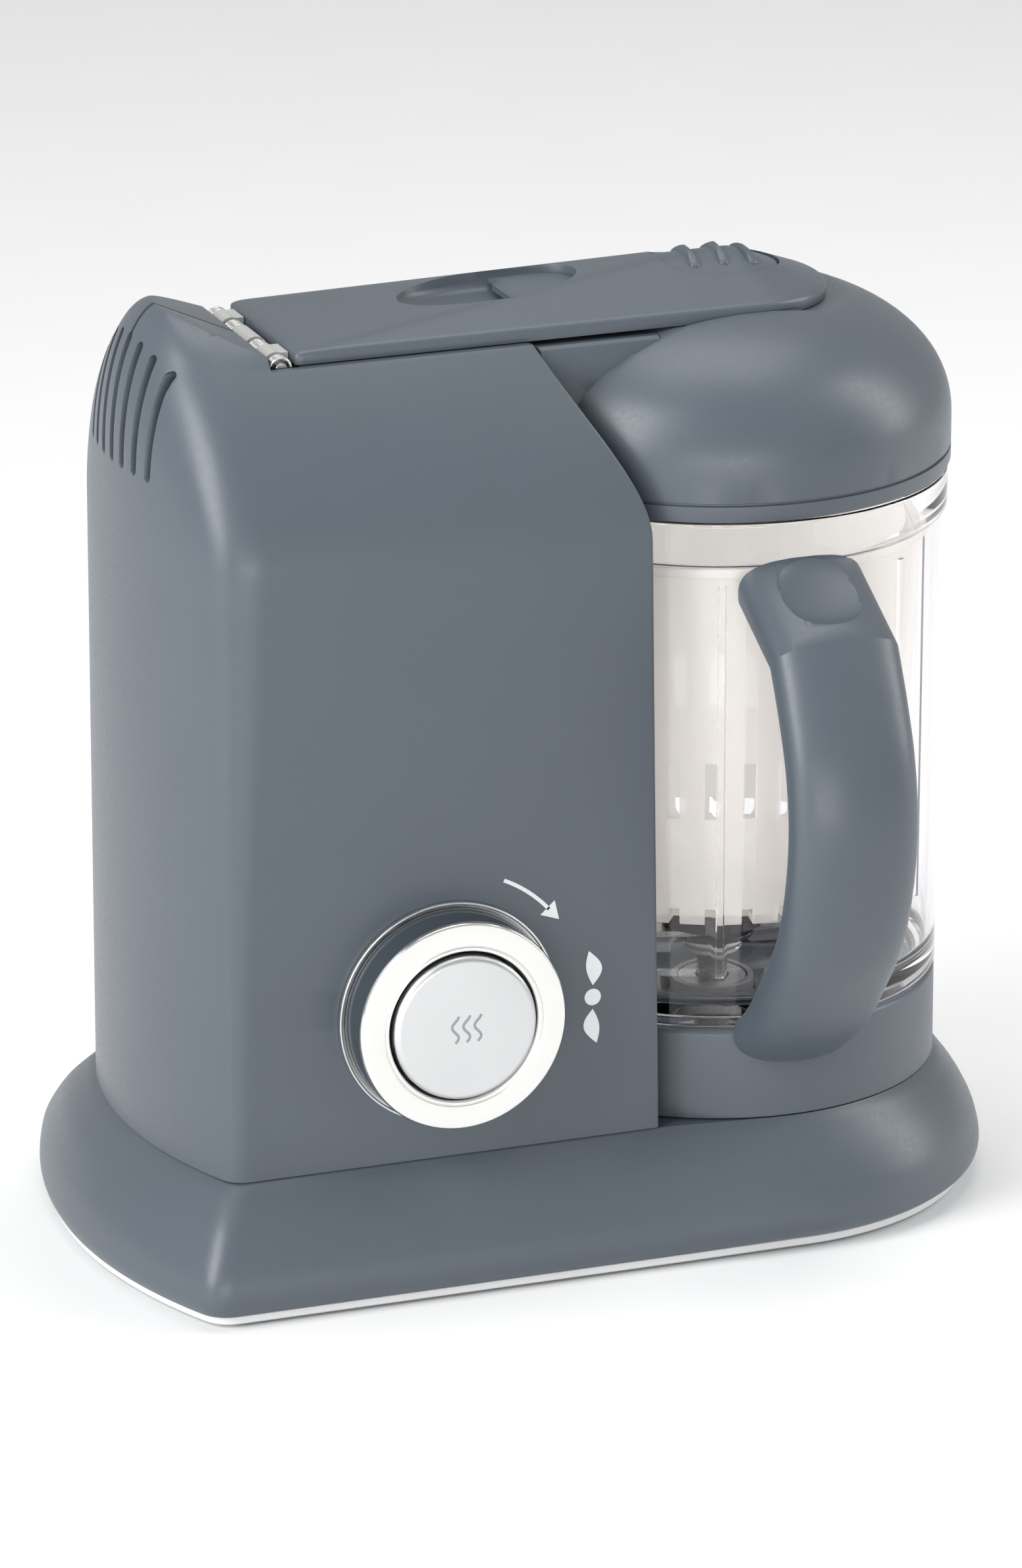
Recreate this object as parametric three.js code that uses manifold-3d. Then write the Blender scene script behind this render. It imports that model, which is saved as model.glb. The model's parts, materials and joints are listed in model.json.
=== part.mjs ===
// A countertop baby food maker: a steam cooker and blender in one body.
// Millimetres, +Z up. The jar stands on the right (+X), the controls face -Y.
// The machine is modelled about the jar's axis, then moved so that the origin
// is the middle of the footprint, on the surface it stands on.

import * as THREE from 'three';
import { mergeVertices } from 'three/addons/utils/BufferGeometryUtils.js';
import Module from 'manifold-3d';

const wasm = await Module();
wasm.setup();

// ---------------------------------------------------------------- dimensions

const ORIGIN_SHIFT = { x: 60.25, y: 18.25, z: 1 }; // jar axis in the finished frame
const GAP = 0.3; // clearance between parts that touch
const WALL = 2.6; // moulded casing wall

// sides of a round: large visible rounds, ordinary ones, and small parts
const FINE = 40;
const ROUND = 24;
const SMALL = 14;

// base
const PLATE_TOP = 2.7;
const DECK_Z = 37; // top of the base, where tower and collar stand
const FOOT_PROUD = 1;
const LEAD = { x: -120, z: 12 }; // inlet of the mains lead, at the back

// tower
const TOWER_HALF = 61.5; // half depth of the straight part
const TOWER_CREASE_X = -170.5; // front and left faces meet here
const TOWER_TIP_X = -184; // furthest point of the curved left end
const ARCH_START_Z = 215; // the sides start to lean in here
const HUMP_TOP_Z = 281;
const TOWER_TOP_Z = 266.6; // flat that the arm lies over
const VALLEY_X = -147; // foot of the hump's sloping face
const JAR_SIDE_R = 75; // hollow face towards the jar
const VENT_PITCH = 8;
const VENT_WIDTH = 3.4;
const VENT_BOTTOM_Z = 236;
const VENT_TOP_Z = 273; // of the middle slot; the others end lower
const VENTS_EACH_SIDE = 3;
const SEAM_HALF = 1; // half width of the groove over the hump

// jar, collar and basket
const COLLAR_R = 65.3;
const COLLAR_TOP_Z = 64.2;
const JAR_R = 65.6;
const JAR_WALL = 3;
const JAR_TOP_Z = 217.5;
const JAR_FLANGE_R = 67.2;
const JAR_FLANGE_Z = 205.5;
const JAR_FLOOR_Z = 70.5;
const BASKET_FLOOR_Z = 93;
const BASKET_TOP_Z = 203;
const BASKET_SLOTS = 32;

// lid and arm
const DOME_R = 68;
const DOME_BOTTOM_Z = 218;
const DOME_STRAIGHT_Z = 232; // end of the dome's upright skirt
const DOME_TOP_Z = 271.5;
const NECK_HALF = 32;
const NECK_TOP_Z = 265.4;
const NECK_BOTTOM_Z = 246;
const ARM_HALF = 29;
const ARM_LEFT_X = -138.8;
const ARM_TIP_X = 31.5;
const ARM_Z = 267; // underside of the arm
const TRAY = 1.6;
const ARM_SIDE_Z = 270.6; // top of the arm's upright side
const ROOF_SLOPE = 0.38; // rise of the arm's roof towards its middle
const TOP_SLOPE = 0.08; // rise of the arm's top towards the jar
const HINGE = { x: -143, z: 266.4, r: 3.6 };

// finger recess, lever and oval button in the arm
const RECESS = { x: -71, rx: 27, ry: 14.5, floor: 270.6 };
const LEVER_Z = 273; // underside of the lever's plate
const SLIDER = { y0: -19.4, y1: -16.4 }; // latch slider, in front of the recess
const BUTTON = { x: -1, rx: 19, ry: 14.5, bottom: 273.4 };

// knob
const KNOB = { x: -106, z: 81.5, r: 31.2, side: 30.4, button: 21.4, front: -75.5 };

// drive
const MOTOR_X = -120;
const BELT_Z = 20;
const BELT_HALF = 4;
const MOTOR_PULLEY_R = 9;
const DRIVEN_PULLEY_R = 27;
const SPINDLE_R = 5;
const BEARING = { inner: 5.4, outer: 11, height: 6, lower: 28, upper: 44 };

// boiler
const BOILER = { x: -112, r: 34, bottom: 164, shoulder: 236, neck: 17 };

// ----------------------------------------------------------------- materials

function finish(color, roughness, metalness = 0, opacity = 1) {
  const transparent = opacity < 1;
  return new THREE.MeshStandardMaterial({ color, roughness, metalness, opacity, transparent });
}

const GREY = finish(0x6e777f, 0.45);
const PALE = finish(0xd8dadb, 0.5);
const RUBBER = finish(0x2b2d2f, 0.9);
const CLEAR = finish(0xf1eefa, 0.08, 0, 0.3);
const MILKY = finish(0xf4efe6, 0.4, 0, 0.7);
const SILICONE = finish(0xd9d5cc, 0.6);
const BLACK = finish(0x1c1d1f, 0.4);
const STEEL = finish(0xc9cbcc, 0.25, 1);
const CHROME = finish(0xf0f0ea, 0.12, 1);
const BRUSHED = finish(0xdfe2e3, 0.3, 1);
const ALUMINIUM = finish(0xb9bcbf, 0.4, 1);
const COPPER_BOARD = finish(0x1f5a3a, 0.5);
const WHITE = finish(0xeceae4, 0.45);

// ------------------------------------------------------------ solid geometry

// A closed three.js geometry as a solid that can be joined and cut.
function solid(geometry) {
  const bare = geometry.index ? geometry : geometry.clone();
  bare.deleteAttribute('normal');
  bare.deleteAttribute('uv');
  const merged = mergeVertices(bare, 1e-4);
  const vertProperties = new Float32Array(merged.attributes.position.array);
  const triVerts = new Uint32Array(merged.index.array);
  return new wasm.Manifold(new wasm.Mesh({ numProp: 3, vertProperties, triVerts }));
}

// A solid back as a three.js geometry.
function geometryOf(body) {
  const mesh = body.getMesh();
  const geometry = new THREE.BufferGeometry();
  geometry.setAttribute('position', new THREE.BufferAttribute(mesh.vertProperties, 3));
  geometry.setIndex(new THREE.BufferAttribute(mesh.triVerts, 1));
  geometry.computeVertexNormals();
  return geometry;
}

function box(x0, x1, y0, y1, z0, z1) {
  const geometry = new THREE.BoxGeometry(x1 - x0, y1 - y0, z1 - z0);
  geometry.translate((x0 + x1) / 2, (y0 + y1) / 2, (z0 + z1) / 2);
  return solid(geometry);
}

// An upright cylinder.
function post(x, y, r, z0, z1, sides = ROUND) {
  const geometry = new THREE.CylinderGeometry(r, r, z1 - z0, sides);
  geometry.rotateX(Math.PI / 2);
  geometry.translate(x, y, (z0 + z1) / 2);
  return solid(geometry);
}

// A cylinder along Y.
function bar(x, z, r, y0, y1, sides = ROUND) {
  const geometry = new THREE.CylinderGeometry(r, r, y1 - y0, sides);
  geometry.translate(x, (y0 + y1) / 2, z);
  return solid(geometry);
}

// A turned piece about a vertical axis; profile points are [radius, height].
function turned(profile, sides = FINE, x = 0, y = 0) {
  const points = profile.map(([r, z]) => new THREE.Vector2(r, z));
  const geometry = new THREE.LatheGeometry(points, sides);
  geometry.rotateX(Math.PI / 2);
  geometry.translate(x, y, 0);
  const body = solid(geometry);
  return body.volume() < 0 ? solid(flipped(geometry)) : body;
}

function flipped(geometry) {
  const index = Array.from(geometry.index.array);
  for (let i = 0; i < index.length; i += 3) {
    [index[i], index[i + 1]] = [index[i + 1], index[i]];
  }
  geometry.setIndex(index);
  return geometry;
}

// A turned piece about an axis along Y; profile points are [radius, y].
function turnedOnY(profile, x, z, sides = FINE) {
  const geometry = geometryOf(turned(profile, sides));
  geometry.rotateX(-Math.PI / 2);
  geometry.translate(x, 0, z);
  return solid(geometry);
}

// A ring about a vertical axis.
function ring(inner, outer, z0, z1, sides = FINE, x = 0) {
  const profile = [[inner, z0], [outer, z0], [outer, z1], [inner, z1], [inner, z0]];
  return turned(profile, sides, x);
}

function shapeOf(points) {
  return new THREE.Shape(points.map(([a, b]) => new THREE.Vector2(a, b)));
}

// An outline in the XZ plane, extruded along Y from y0 to y1.
function slabXZ(points, y0, y1) {
  const geometry = new THREE.ExtrudeGeometry(shapeOf(points), { depth: y1 - y0, bevelEnabled: false });
  geometry.rotateX(Math.PI / 2);
  geometry.translate(0, y1, 0);
  return solid(geometry);
}

// An outline in the XY plane, extruded upwards from z0 to z1.
function slabXY(points, z0, z1) {
  const geometry = new THREE.ExtrudeGeometry(shapeOf(points), { depth: z1 - z0, bevelEnabled: false });
  geometry.translate(0, 0, z0);
  return solid(geometry);
}

// An outline in the YZ plane, extruded along X from x0 to x1.
function slabYZ(points, x0, x1) {
  const geometry = new THREE.ExtrudeGeometry(shapeOf(points), { depth: x1 - x0, bevelEnabled: false });
  geometry.rotateX(Math.PI / 2);
  geometry.rotateZ(Math.PI / 2);
  geometry.translate(x0, 0, 0);
  return solid(geometry);
}

// A skin over outlines stacked upwards. Each has the same number of points,
// anticlockwise seen from above, and is capped by a fan round its middle.
function lofted(outlines) {
  const count = outlines[0].length;
  const positions = outlines.flat(2);
  const index = [];
  for (let level = 0; level + 1 < outlines.length; level += 1) {
    for (let i = 0; i < count; i += 1) {
      const j = (i + 1) % count;
      const [a, b] = [level * count + i, level * count + j];
      index.push(a, b, b + count, a, b + count, a + count);
    }
  }
  const addCap = (outline, first, up) => {
    const middle = positions.length / 3;
    const sum = outline.reduce(([x, y, z], p) => [x + p[0], y + p[1], z + p[2]], [0, 0, 0]);
    positions.push(...sum.map((total) => total / count));
    for (let i = 0; i < count; i += 1) {
      const j = (i + 1) % count;
      index.push(middle, first + (up ? i : j), first + (up ? j : i));
    }
  };
  addCap(outlines[0], 0, false);
  addCap(outlines.at(-1), (outlines.length - 1) * count, true);
  const geometry = new THREE.BufferGeometry();
  geometry.setAttribute('position', new THREE.Float32BufferAttribute(positions, 3));
  geometry.setIndex(index);
  return solid(geometry);
}

function around(count, place) {
  return Array.from({ length: count }, (_, i) => place((i / count) * Math.PI * 2, i));
}

function cutAll(body, cutters) {
  return cutters.reduce((rest, cutter) => rest.subtract(cutter), body);
}

// ------------------------------------------------------------- node register

const machine = new THREE.Group();
machine.position.set(ORIGIN_SHIFT.x, ORIGIN_SHIFT.y, ORIGIN_SHIFT.z);

function add(name, body, material) {
  const mesh = new THREE.Mesh(geometryOf(body), material);
  mesh.name = name;
  machine.add(mesh);
}

// -------------------------------------------------------------------- shapes

// Points on the arc through (x, -half), (tip, 0) and (x, half), from +Y to -Y.
function endArc(x, half, tip, z, steps = 12) {
  const rise = x - tip;
  const radius = (half * half + rise * rise) / (2 * rise);
  const spread = Math.asin(half / radius);
  return Array.from({ length: steps + 1 }, (_, i) => {
    const angle = spread * (1 - (2 * i) / steps);
    return [tip + radius * (1 - Math.cos(angle)), radius * Math.sin(angle), z];
  });
}

// Half depth of the tower at a height: upright, then leaning in as an arch.
function towerHalf(z) {
  const climb = Math.max(0, z - ARCH_START_Z) / (HUMP_TOP_Z - ARCH_START_Z);
  return TOWER_HALF - 46.5 * climb ** 1.8;
}

// Furthest left point of the tower at a height.
function towerTip(z) {
  const climb = Math.min(1, Math.max(0, z - 238) / 43.5);
  return TOWER_TIP_X + 16 * (1 - Math.sqrt(1 - climb * climb));
}

function towerOutline(z, inset) {
  const half = towerHalf(z) - inset;
  const crease = TOWER_CREASE_X + inset;
  const tip = Math.min(crease - 0.4, towerTip(z) + inset);
  return [[-20, -half, z], [-20, half, z], ...endArc(crease, half, tip, z)];
}

// The base's outline: straight front and back, a shallow arc on the left and
// a round end on the right, swelling out below the deck.
const FLARE = [
  // height, half depth, right radius, left tip
  [3, 76.1, 75.8, -198.6],
  [5.5, 77.6, 78.6, -199.8],
  [9, 78, 79.5, -200],
  [14, 77.2, 78.8, -199],
  [20, 74.6, 76.8, -196.4],
  [28, 69.6, 72.4, -191.6],
  [DECK_Z, TOWER_HALF, 65.5, TOWER_TIP_X],
];

function baseOutline([z, half, right, tip], inset = 0) {
  const w = half - inset;
  const r = right - inset;
  const front = [];
  for (const x of [-45, -30, -15]) {
    const t = (x + 45) / 45;
    front.push([x, -(w + (r - w) * t * t * (3 - 2 * t)), z]);
  }
  const round = Array.from({ length: 21 }, (_, i) => {
    const angle = Math.PI * (i / 20 - 0.5);
    return [r * Math.cos(angle), r * Math.sin(angle), z];
  });
  const back = front.map(([x, y]) => [x, -y, z]).reverse();
  const corner = TOWER_CREASE_X - 0.72 * (half - TOWER_HALF) + inset;
  return [...front, ...round, ...back, ...endArc(corner, w, tip + inset, z)];
}

function atHeight(row, z) {
  return [z, row[1], row[2], row[3]];
}

// The cone of space in front of the tower, where jar, lid and collar stand.
function jarSpace(shrink) {
  return turned([[0, 20], [73.4 - shrink, 20], [JAR_SIDE_R - shrink, ARCH_START_Z],
    [JAR_SIDE_R - shrink, 300], [0, 300]], FINE);
}

// ---------------------------------------------------------------------- base

const SCREWS = [[-150, -52], [-150, 52], [10, -56], [10, 56]];
const FEET = [[-165, -48], [-165, 48], [35, -48], [35, 48]];

function baseSkirt() {
  const outer = lofted(FLARE.map((row) => baseOutline(row)));
  const inside = FLARE.slice(0, -1).map((row) => baseOutline(row, WALL));
  const mouth = baseOutline(atHeight(FLARE[0], 0), WALL);
  const ceiling = baseOutline([DECK_Z - WALL, 62.6, 66.4, -185], WALL);
  let body = outer.subtract(lofted([mouth, ...inside, ceiling]));
  for (const [x, y] of SCREWS) {
    body = body.add(post(x, y, 4.5, PLATE_TOP + GAP, DECK_Z - 1, SMALL));
    body = body.subtract(post(x, y, 1.9, 0, 22, SMALL));
  }
  const motorWay = box(-152, -88, -46, 46, 30, 40);
  const spindleWay = post(0, 0, 20, 30, 40, ROUND);
  const leadWay = bar(LEAD.x, LEAD.z, 6.4, 60, 90, SMALL);
  return cutAll(body, [motorWay, spindleWay, leadWay]);
}

function basePlate() {
  const edge = atHeight(FLARE[0], 0);
  let body = lofted([baseOutline(edge, 1), baseOutline(atHeight(FLARE[0], PLATE_TOP), 1)]);
  for (const [x, y] of FEET) {
    body = body.subtract(post(x, y, 9.3, -1, 1.2, ROUND));
  }
  for (const [x, y] of SCREWS) {
    body = body.subtract(post(x, y, 1.9, -1, 4, SMALL));
    body = body.subtract(post(x, y, 3.7, -1, 1.5, SMALL));
  }
  return body;
}

add('base_skirt', baseSkirt(), GREY);
add('base_plate', basePlate(), PALE);
FEET.forEach(([x, y], i) => {
  add(`foot_${i + 1}`, post(x, y, 9, -FOOT_PROUD, 1.2 - GAP, ROUND), RUBBER);
});
SCREWS.forEach(([x, y], i) => {
  const profile = [[0, 0.3], [3.3, 0.3], [3.3, 1.2], [1.5, 1.3], [1.5, 18], [0, 20]];
  add(`plate_screw_${i + 1}`, turned(profile, SMALL, x, y), STEEL);
});
add('cord_inlet', turnedOnY([
  [2.6, 68], [8.5, 68], [8.5, 71.2], [6, 71.2], [6, 77.6], [2.6, 77.6], [2.6, 68],
], LEAD.x, LEAD.z, SMALL), BLACK);

// --------------------------------------------------------------------- tower

const TOWER_LEVELS = [
  DECK_Z + GAP, 120, ARCH_START_Z, 222, 229, 236, 243, 250, 256, 261, 265, 269, 273, 277, HUMP_TOP_Z,
];

// Everything above the tower's flat top and the hump's sloping face.
function aboveTower(drop) {
  const outline = [
    [0, TOWER_TOP_Z - drop],
    [VALLEY_X, TOWER_TOP_Z - drop],
    [VALLEY_X, 270 - drop],
    [TOWER_CREASE_X - 1, HUMP_TOP_Z - drop],
    [-220, HUMP_TOP_Z - drop],
    [-220, 320],
    [0, 320],
  ];
  return slabXZ(outline, -90, 90);
}

function ventSlots() {
  const cutters = [];
  for (let i = -VENTS_EACH_SIDE; i <= VENTS_EACH_SIDE; i += 1) {
    const y = i * VENT_PITCH;
    const top = VENT_TOP_Z - 0.75 * Math.abs(i) ** 1.8;
    cutters.push(box(-195, -172, y - VENT_WIDTH / 2, y + VENT_WIDTH / 2, VENT_BOTTOM_Z, top));
  }
  return cutters;
}

function seamGroove() {
  const bed = [[-180.8, 255], [-176.5, 268], [-171, 278], [VALLEY_X, 268.2]];
  const outline = [[-200, 255], ...bed, [VALLEY_X, 300], [-200, 300]];
  return slabXZ(outline, -SEAM_HALF, SEAM_HALF);
}

function towerCasing() {
  const trough = box(VALLEY_X, -137.2, -29.4, 29.4, 259.5, 280);
  const outer = lofted(TOWER_LEVELS.map((z) => towerOutline(z, 0)))
    .subtract(jarSpace(0))
    .subtract(aboveTower(0));
  const innerLevels = [20, ...TOWER_LEVELS.slice(1, -1)];
  const inner = lofted(innerLevels.map((z) => towerOutline(z, WALL)))
    .subtract(jarSpace(-WALL))
    .subtract(aboveTower(2.8))
    .subtract(box(VALLEY_X - 2, -135.2, -31.4, 31.4, 257.5, 300));
  const tankMouth = post(BOILER.x, 0, 20.6, 255, 275, ROUND);
  const hookWay = box(-87, -77, SLIDER.y0 - 1, SLIDER.y1 + 1, 255, 275);
  const shaftWay = bar(KNOB.x, KNOB.z, 4.2, -70, -50, SMALL);
  return cutAll(outer, [inner, trough, tankMouth, hookWay, shaftWay, seamGroove(), ...ventSlots()]);
}

add('tower_casing', towerCasing(), GREY);

// ------------------------------------------------------------- jar's collar

add('jar_collar', turned([
  [14, 42], [61, 42], [61, DECK_Z + GAP], [COLLAR_R, DECK_Z + GAP], [COLLAR_R, COLLAR_TOP_Z],
  [61.2, COLLAR_TOP_Z], [61.2, 45], [14, 45], [14, 42],
]), GREY);

// ----------------------------------------------------------------------- jar

// Middle line of the handle as [y, z]: a straight slope out of the jar's neck to a
// sharp bend, then one long curve down to the jar's foot.
const HANDLE_NECK = [-59.6, 202.7];
const HANDLE_BELLY = new THREE.CatmullRomCurve3([
  [-92.4, 185.8], [-99.5, 172], [-105.8, 156], [-108.48, 138], [-106, 118], [-99.5, 100],
  [-88.5, 84.5], [-76, 70], [-64, 61],
].map(([y, z]) => new THREE.Vector3(0, y, z)));
const HANDLE_STEPS = 16;
const HANDLE = { half: 19, widest: -2, back: -6.8, crest: 7.5, cheek: 3.8, web: -2.6 };
const THUMB_REST = { y: -80.4, z: 200.9, tilt: 0.476, size: [15.5, 13.5, 2.9] };

// Stations along the handle: a place on its line and the direction outwards,
// lengthened where two straight runs meet at the bend.
const HANDLE_STATIONS = (() => {
  const line = [HANDLE_NECK, [-76, 194.25]];
  for (let i = 0; i <= HANDLE_STEPS; i += 1) {
    const p = HANDLE_BELLY.getPoint(i / HANDLE_STEPS);
    line.push([p.y, p.z]);
  }
  const unit = ([y0, z0], [y1, z1]) => {
    const length = Math.hypot(y1 - y0, z1 - z0);
    return [(y1 - y0) / length, (z1 - z0) / length];
  };
  return line.map((p, i) => {
    const before = unit(line[Math.max(0, i - 1)], line[Math.max(1, i)]);
    const after = unit(line[Math.min(i, line.length - 2)], line[Math.min(i + 1, line.length - 1)]);
    const sum = [before[0] + after[0], before[1] + after[1]];
    const reach = (2 / Math.hypot(...sum)) ** 2 / 2;
    return { y: p[0], z: p[1], ny: sum[1] * reach, nz: -sum[0] * reach };
  });
})();

// A strip along the handle's line, between two distances outside it.
function handleStrip(inner, outer, half) {
  const outside = HANDLE_STATIONS.map(({ y, z, ny, nz }) => [y + ny * outer, z + nz * outer]);
  const inside = HANDLE_STATIONS.map(({ y, z, ny, nz }) => [y + ny * inner, z + nz * inner]);
  return slabYZ([...outside, ...inside.reverse()], -half, half);
}

function jarBody() {
  const profile = [
    [8.6, 66], [53, 66], [56.5, 48], [60.4, 48], [60.4, COLLAR_TOP_Z + GAP],
    [JAR_R - 0.1, COLLAR_TOP_Z + 1.3], [JAR_R, JAR_FLANGE_Z - 1.2], [JAR_FLANGE_R, JAR_FLANGE_Z],
    [JAR_FLANGE_R, JAR_TOP_Z], [63.8, JAR_TOP_Z], [JAR_R - JAR_WALL, JAR_FLANGE_Z - 2],
    [JAR_R - JAR_WALL, JAR_FLOOR_Z + 4], [JAR_R - JAR_WALL - 4, JAR_FLOOR_Z], [8.6, JAR_FLOOR_Z], [8.6, 66],
  ];
  const half = HANDLE.half - HANDLE.cheek - GAP;
  const core = handleStrip(HANDLE.back - 0.6, HANDLE.web - GAP, half);
  const inside = post(0, 0, JAR_R - JAR_WALL + 1, 30, 260, FINE);
  const footRoom = ring(59, 80, 20, COLLAR_TOP_Z + 1.2, FINE);
  return turned(profile, FINE).add(core.subtract(inside).subtract(footRoom));
}

// Across the handle: a flat back and a crowned front, as [x, distance outside the line].
function handleSection() {
  const { half, widest, back, crest } = HANDLE;
  const crown = Array.from({ length: 13 }, (_, i) => {
    const angle = (Math.PI * i) / 12;
    const [c, s] = [Math.cos(angle), Math.sin(angle)];
    return [half * Math.sign(c) * Math.abs(c) ** 0.9, widest + (crest - widest) * s ** 0.9];
  });
  return [...crown, [-half + 1, back], [half - 1, back]];
}

// A shallow hollow for the thumb, in the sloping top of the handle.
function thumbRest() {
  const hollow = new THREE.SphereGeometry(1, ROUND, 12);
  hollow.scale(...THUMB_REST.size);
  hollow.rotateX(THUMB_REST.tilt);
  hollow.translate(0, THUMB_REST.y, THUMB_REST.z);
  return solid(hollow);
}

// The grey grip: hollow towards the jar, where the clear core lies in its channel.
function jarHandle() {
  const rings = HANDLE_STATIONS.map(({ y, z, ny, nz }) => (
    handleSection().map(([x, out]) => [x, y + ny * out, z + nz * out])
  ));
  const body = lofted(rings);
  const solidBar = body.volume() < 0 ? lofted(rings.reverse()) : body;
  const channel = handleStrip(HANDLE.back - 2, HANDLE.web, HANDLE.half - HANDLE.cheek);
  return cutAll(solidBar, [channel, thumbRest(), post(0, 0, JAR_FLANGE_R + 0.4, 30, 260, FINE)]);
}

function steamBasket() {
  const cup = turned([
    [0, BASKET_FLOOR_Z], [54, BASKET_FLOOR_Z], [59.5, BASKET_TOP_Z - 3], [61.6, BASKET_TOP_Z - 3],
    [61.6, BASKET_TOP_Z], [57.6, BASKET_TOP_Z], [52.2, BASKET_FLOOR_Z + 2], [0, BASKET_FLOOR_Z + 2],
  ], FINE);
  const turnedBox = (angle, x0, x1, half, z0, z1) => {
    const geometry = new THREE.BoxGeometry(x1 - x0, half * 2, z1 - z0);
    geometry.translate((x0 + x1) / 2, 0, (z0 + z1) / 2);
    geometry.rotateZ(angle);
    return solid(geometry);
  };
  const below = BASKET_FLOOR_Z - 1;
  const footTop = BASKET_FLOOR_Z + 5;
  const footSlots = around(BASKET_SLOTS, (angle) => turnedBox(angle, 46, 62, 1.7, below, footTop));
  const midSlots = around(BASKET_SLOTS, (angle) => turnedBox(angle, 46, 64, 1.9, 126, 143));
  const floorSlots = around(8, (angle) => turnedBox(angle, 16, 40, 1.6, below, BASKET_FLOOR_Z + 3));
  return cutAll(cup, [...footSlots, ...midSlots, ...floorSlots]);
}

add('jar_body', jarBody(), CLEAR);
add('jar_handle', jarHandle(), GREY);
add('steam_basket', steamBasket(), MILKY);
add('jar_bush', ring(5.5, 8.3, 64, 72, ROUND), SILICONE);

// --------------------------------------------------------------------- drive

// A blade with two swept wings, seen from above.
function bladeOutline() {
  const wing = [[5, -7], [20, -8.5], [34, -6], [43, 3], [32, 2.5], [20, 3.5], [8, 7]];
  return [...wing, ...wing.map(([x, y]) => [-x, -y])];
}

function belt() {
  const loop = (extra) => {
    const small = MOTOR_PULLEY_R + extra;
    const large = DRIVEN_PULLEY_R + extra;
    const lean = Math.asin((large - small) / -MOTOR_X);
    const points = [];
    for (let i = 0; i <= 14; i += 1) {
      const angle = Math.PI / 2 + lean + ((Math.PI - 2 * lean) * i) / 14;
      points.push([MOTOR_X + small * Math.cos(angle), small * Math.sin(angle)]);
    }
    for (let i = 0; i <= 20; i += 1) {
      const angle = -Math.PI / 2 - lean + ((Math.PI + 2 * lean) * i) / 20;
      points.push([large * Math.cos(angle), large * Math.sin(angle)]);
    }
    return points;
  };
  const outer = slabXY(loop(2), BELT_Z - BELT_HALF, BELT_Z + BELT_HALF);
  return outer.subtract(slabXY(loop(GAP), BELT_Z - 2 * BELT_HALF, BELT_Z + 2 * BELT_HALF));
}

function pulley(x, r, bore) {
  const rim = r + 2.5;
  const inside = BELT_HALF + 0.6;
  const outside = BELT_HALF + 2;
  const profile = [
    [bore, -outside], [rim, -outside], [rim, -inside], [r, -inside],
    [r, inside], [rim, inside], [rim, outside], [bore, outside], [bore, -outside],
  ];
  return turned(profile.map(([radius, dz]) => [radius, BELT_Z + dz]), 18, x);
}

add('driven_pulley', pulley(0, DRIVEN_PULLEY_R, 5.3), BLACK);
add('spindle', post(0, 0, SPINDLE_R, 10, 87, SMALL), STEEL);
add('blade_hub', turned([
  [5.3, 76.5], [15, 76.5], [14.4, 87], [12, 91], [0, 91], [0, 87.5], [5.3, 87.5], [5.3, 76.5],
], ROUND), BLACK);
add('blade_seat', ring(5.3, 12, 72.6, 74, ROUND), BLACK);
add('blade', slabXY(bladeOutline(), 74.3, 76.2).subtract(post(0, 0, 5.3, 60, 90, SMALL)), STEEL);

function bearing(z) {
  return ring(BEARING.inner, BEARING.outer, z, z + BEARING.height, ROUND);
}

add('bearing_lower', bearing(BEARING.lower), STEEL);
add('bearing_upper', bearing(BEARING.upper), STEEL);
add('bearing_housing', turned([
  [7, 27.4], [14, 27.4], [14, 36], [19, 36], [19, 38.6], [13.4, 38.6], [13.4, 50.6], [11.3, 50.6],
  [11.3, 43], [7.5, 43], [7.5, 35], [11.3, 35], [11.3, BEARING.lower - GAP],
  [7, BEARING.lower - GAP], [7, 27.4],
], ROUND), ALUMINIUM);
add('drive_belt', belt(), RUBBER);
add('motor_pulley', pulley(MOTOR_X, MOTOR_PULLEY_R, 3.3), BLACK);
add('motor_shaft', post(MOTOR_X, 0, 3, 11, 60, SMALL), STEEL);
const CAN = [[3.4, 42.4], [27, 42.4], [27, 104], [20, 110], [3.4, 110], [3.4, 42.4]];
add('motor', turned(CAN, ROUND, MOTOR_X), ALUMINIUM);
add('motor_bracket', box(-158, -85, -30, 30, DECK_Z + GAP, 42)
  .subtract(post(MOTOR_X, 0, 14, 30, 50, ROUND))
  .subtract(jarSpace(-WALL - 1)), STEEL);

// ------------------------------------------------------------ boiler and lid

add('boiler_tank', turned([
  [0, BOILER.bottom], [BOILER.r, BOILER.bottom], [BOILER.r, BOILER.shoulder], [BOILER.neck + 2, 252],
  [BOILER.neck + 2, 263.5], [BOILER.neck, 263.5], [BOILER.neck, 251], [BOILER.r - 2, BOILER.shoulder - 1.4],
  [BOILER.r - 2, BOILER.bottom + 2], [0, BOILER.bottom + 2],
], ROUND, BOILER.x), STEEL);
add('tank_gasket', ring(BOILER.neck, 20.2, 263.9, ARM_Z - 0.25, ROUND, BOILER.x), SILICONE);
add('heater_plate', post(BOILER.x, 0, 31, 156, BOILER.bottom - GAP, ROUND), ALUMINIUM);
add('thermostat', post(BOILER.x, 0, 8, 146, 156 - GAP, ROUND), BLACK);
add('boiler_bracket', box(-150, -78, -5, 5, 136, 139)
  .add(box(-150, -147, -5, 5, 136, 162))
  .add(box(-80.5, -78, -5, 5, 136, 158)), STEEL);

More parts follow.
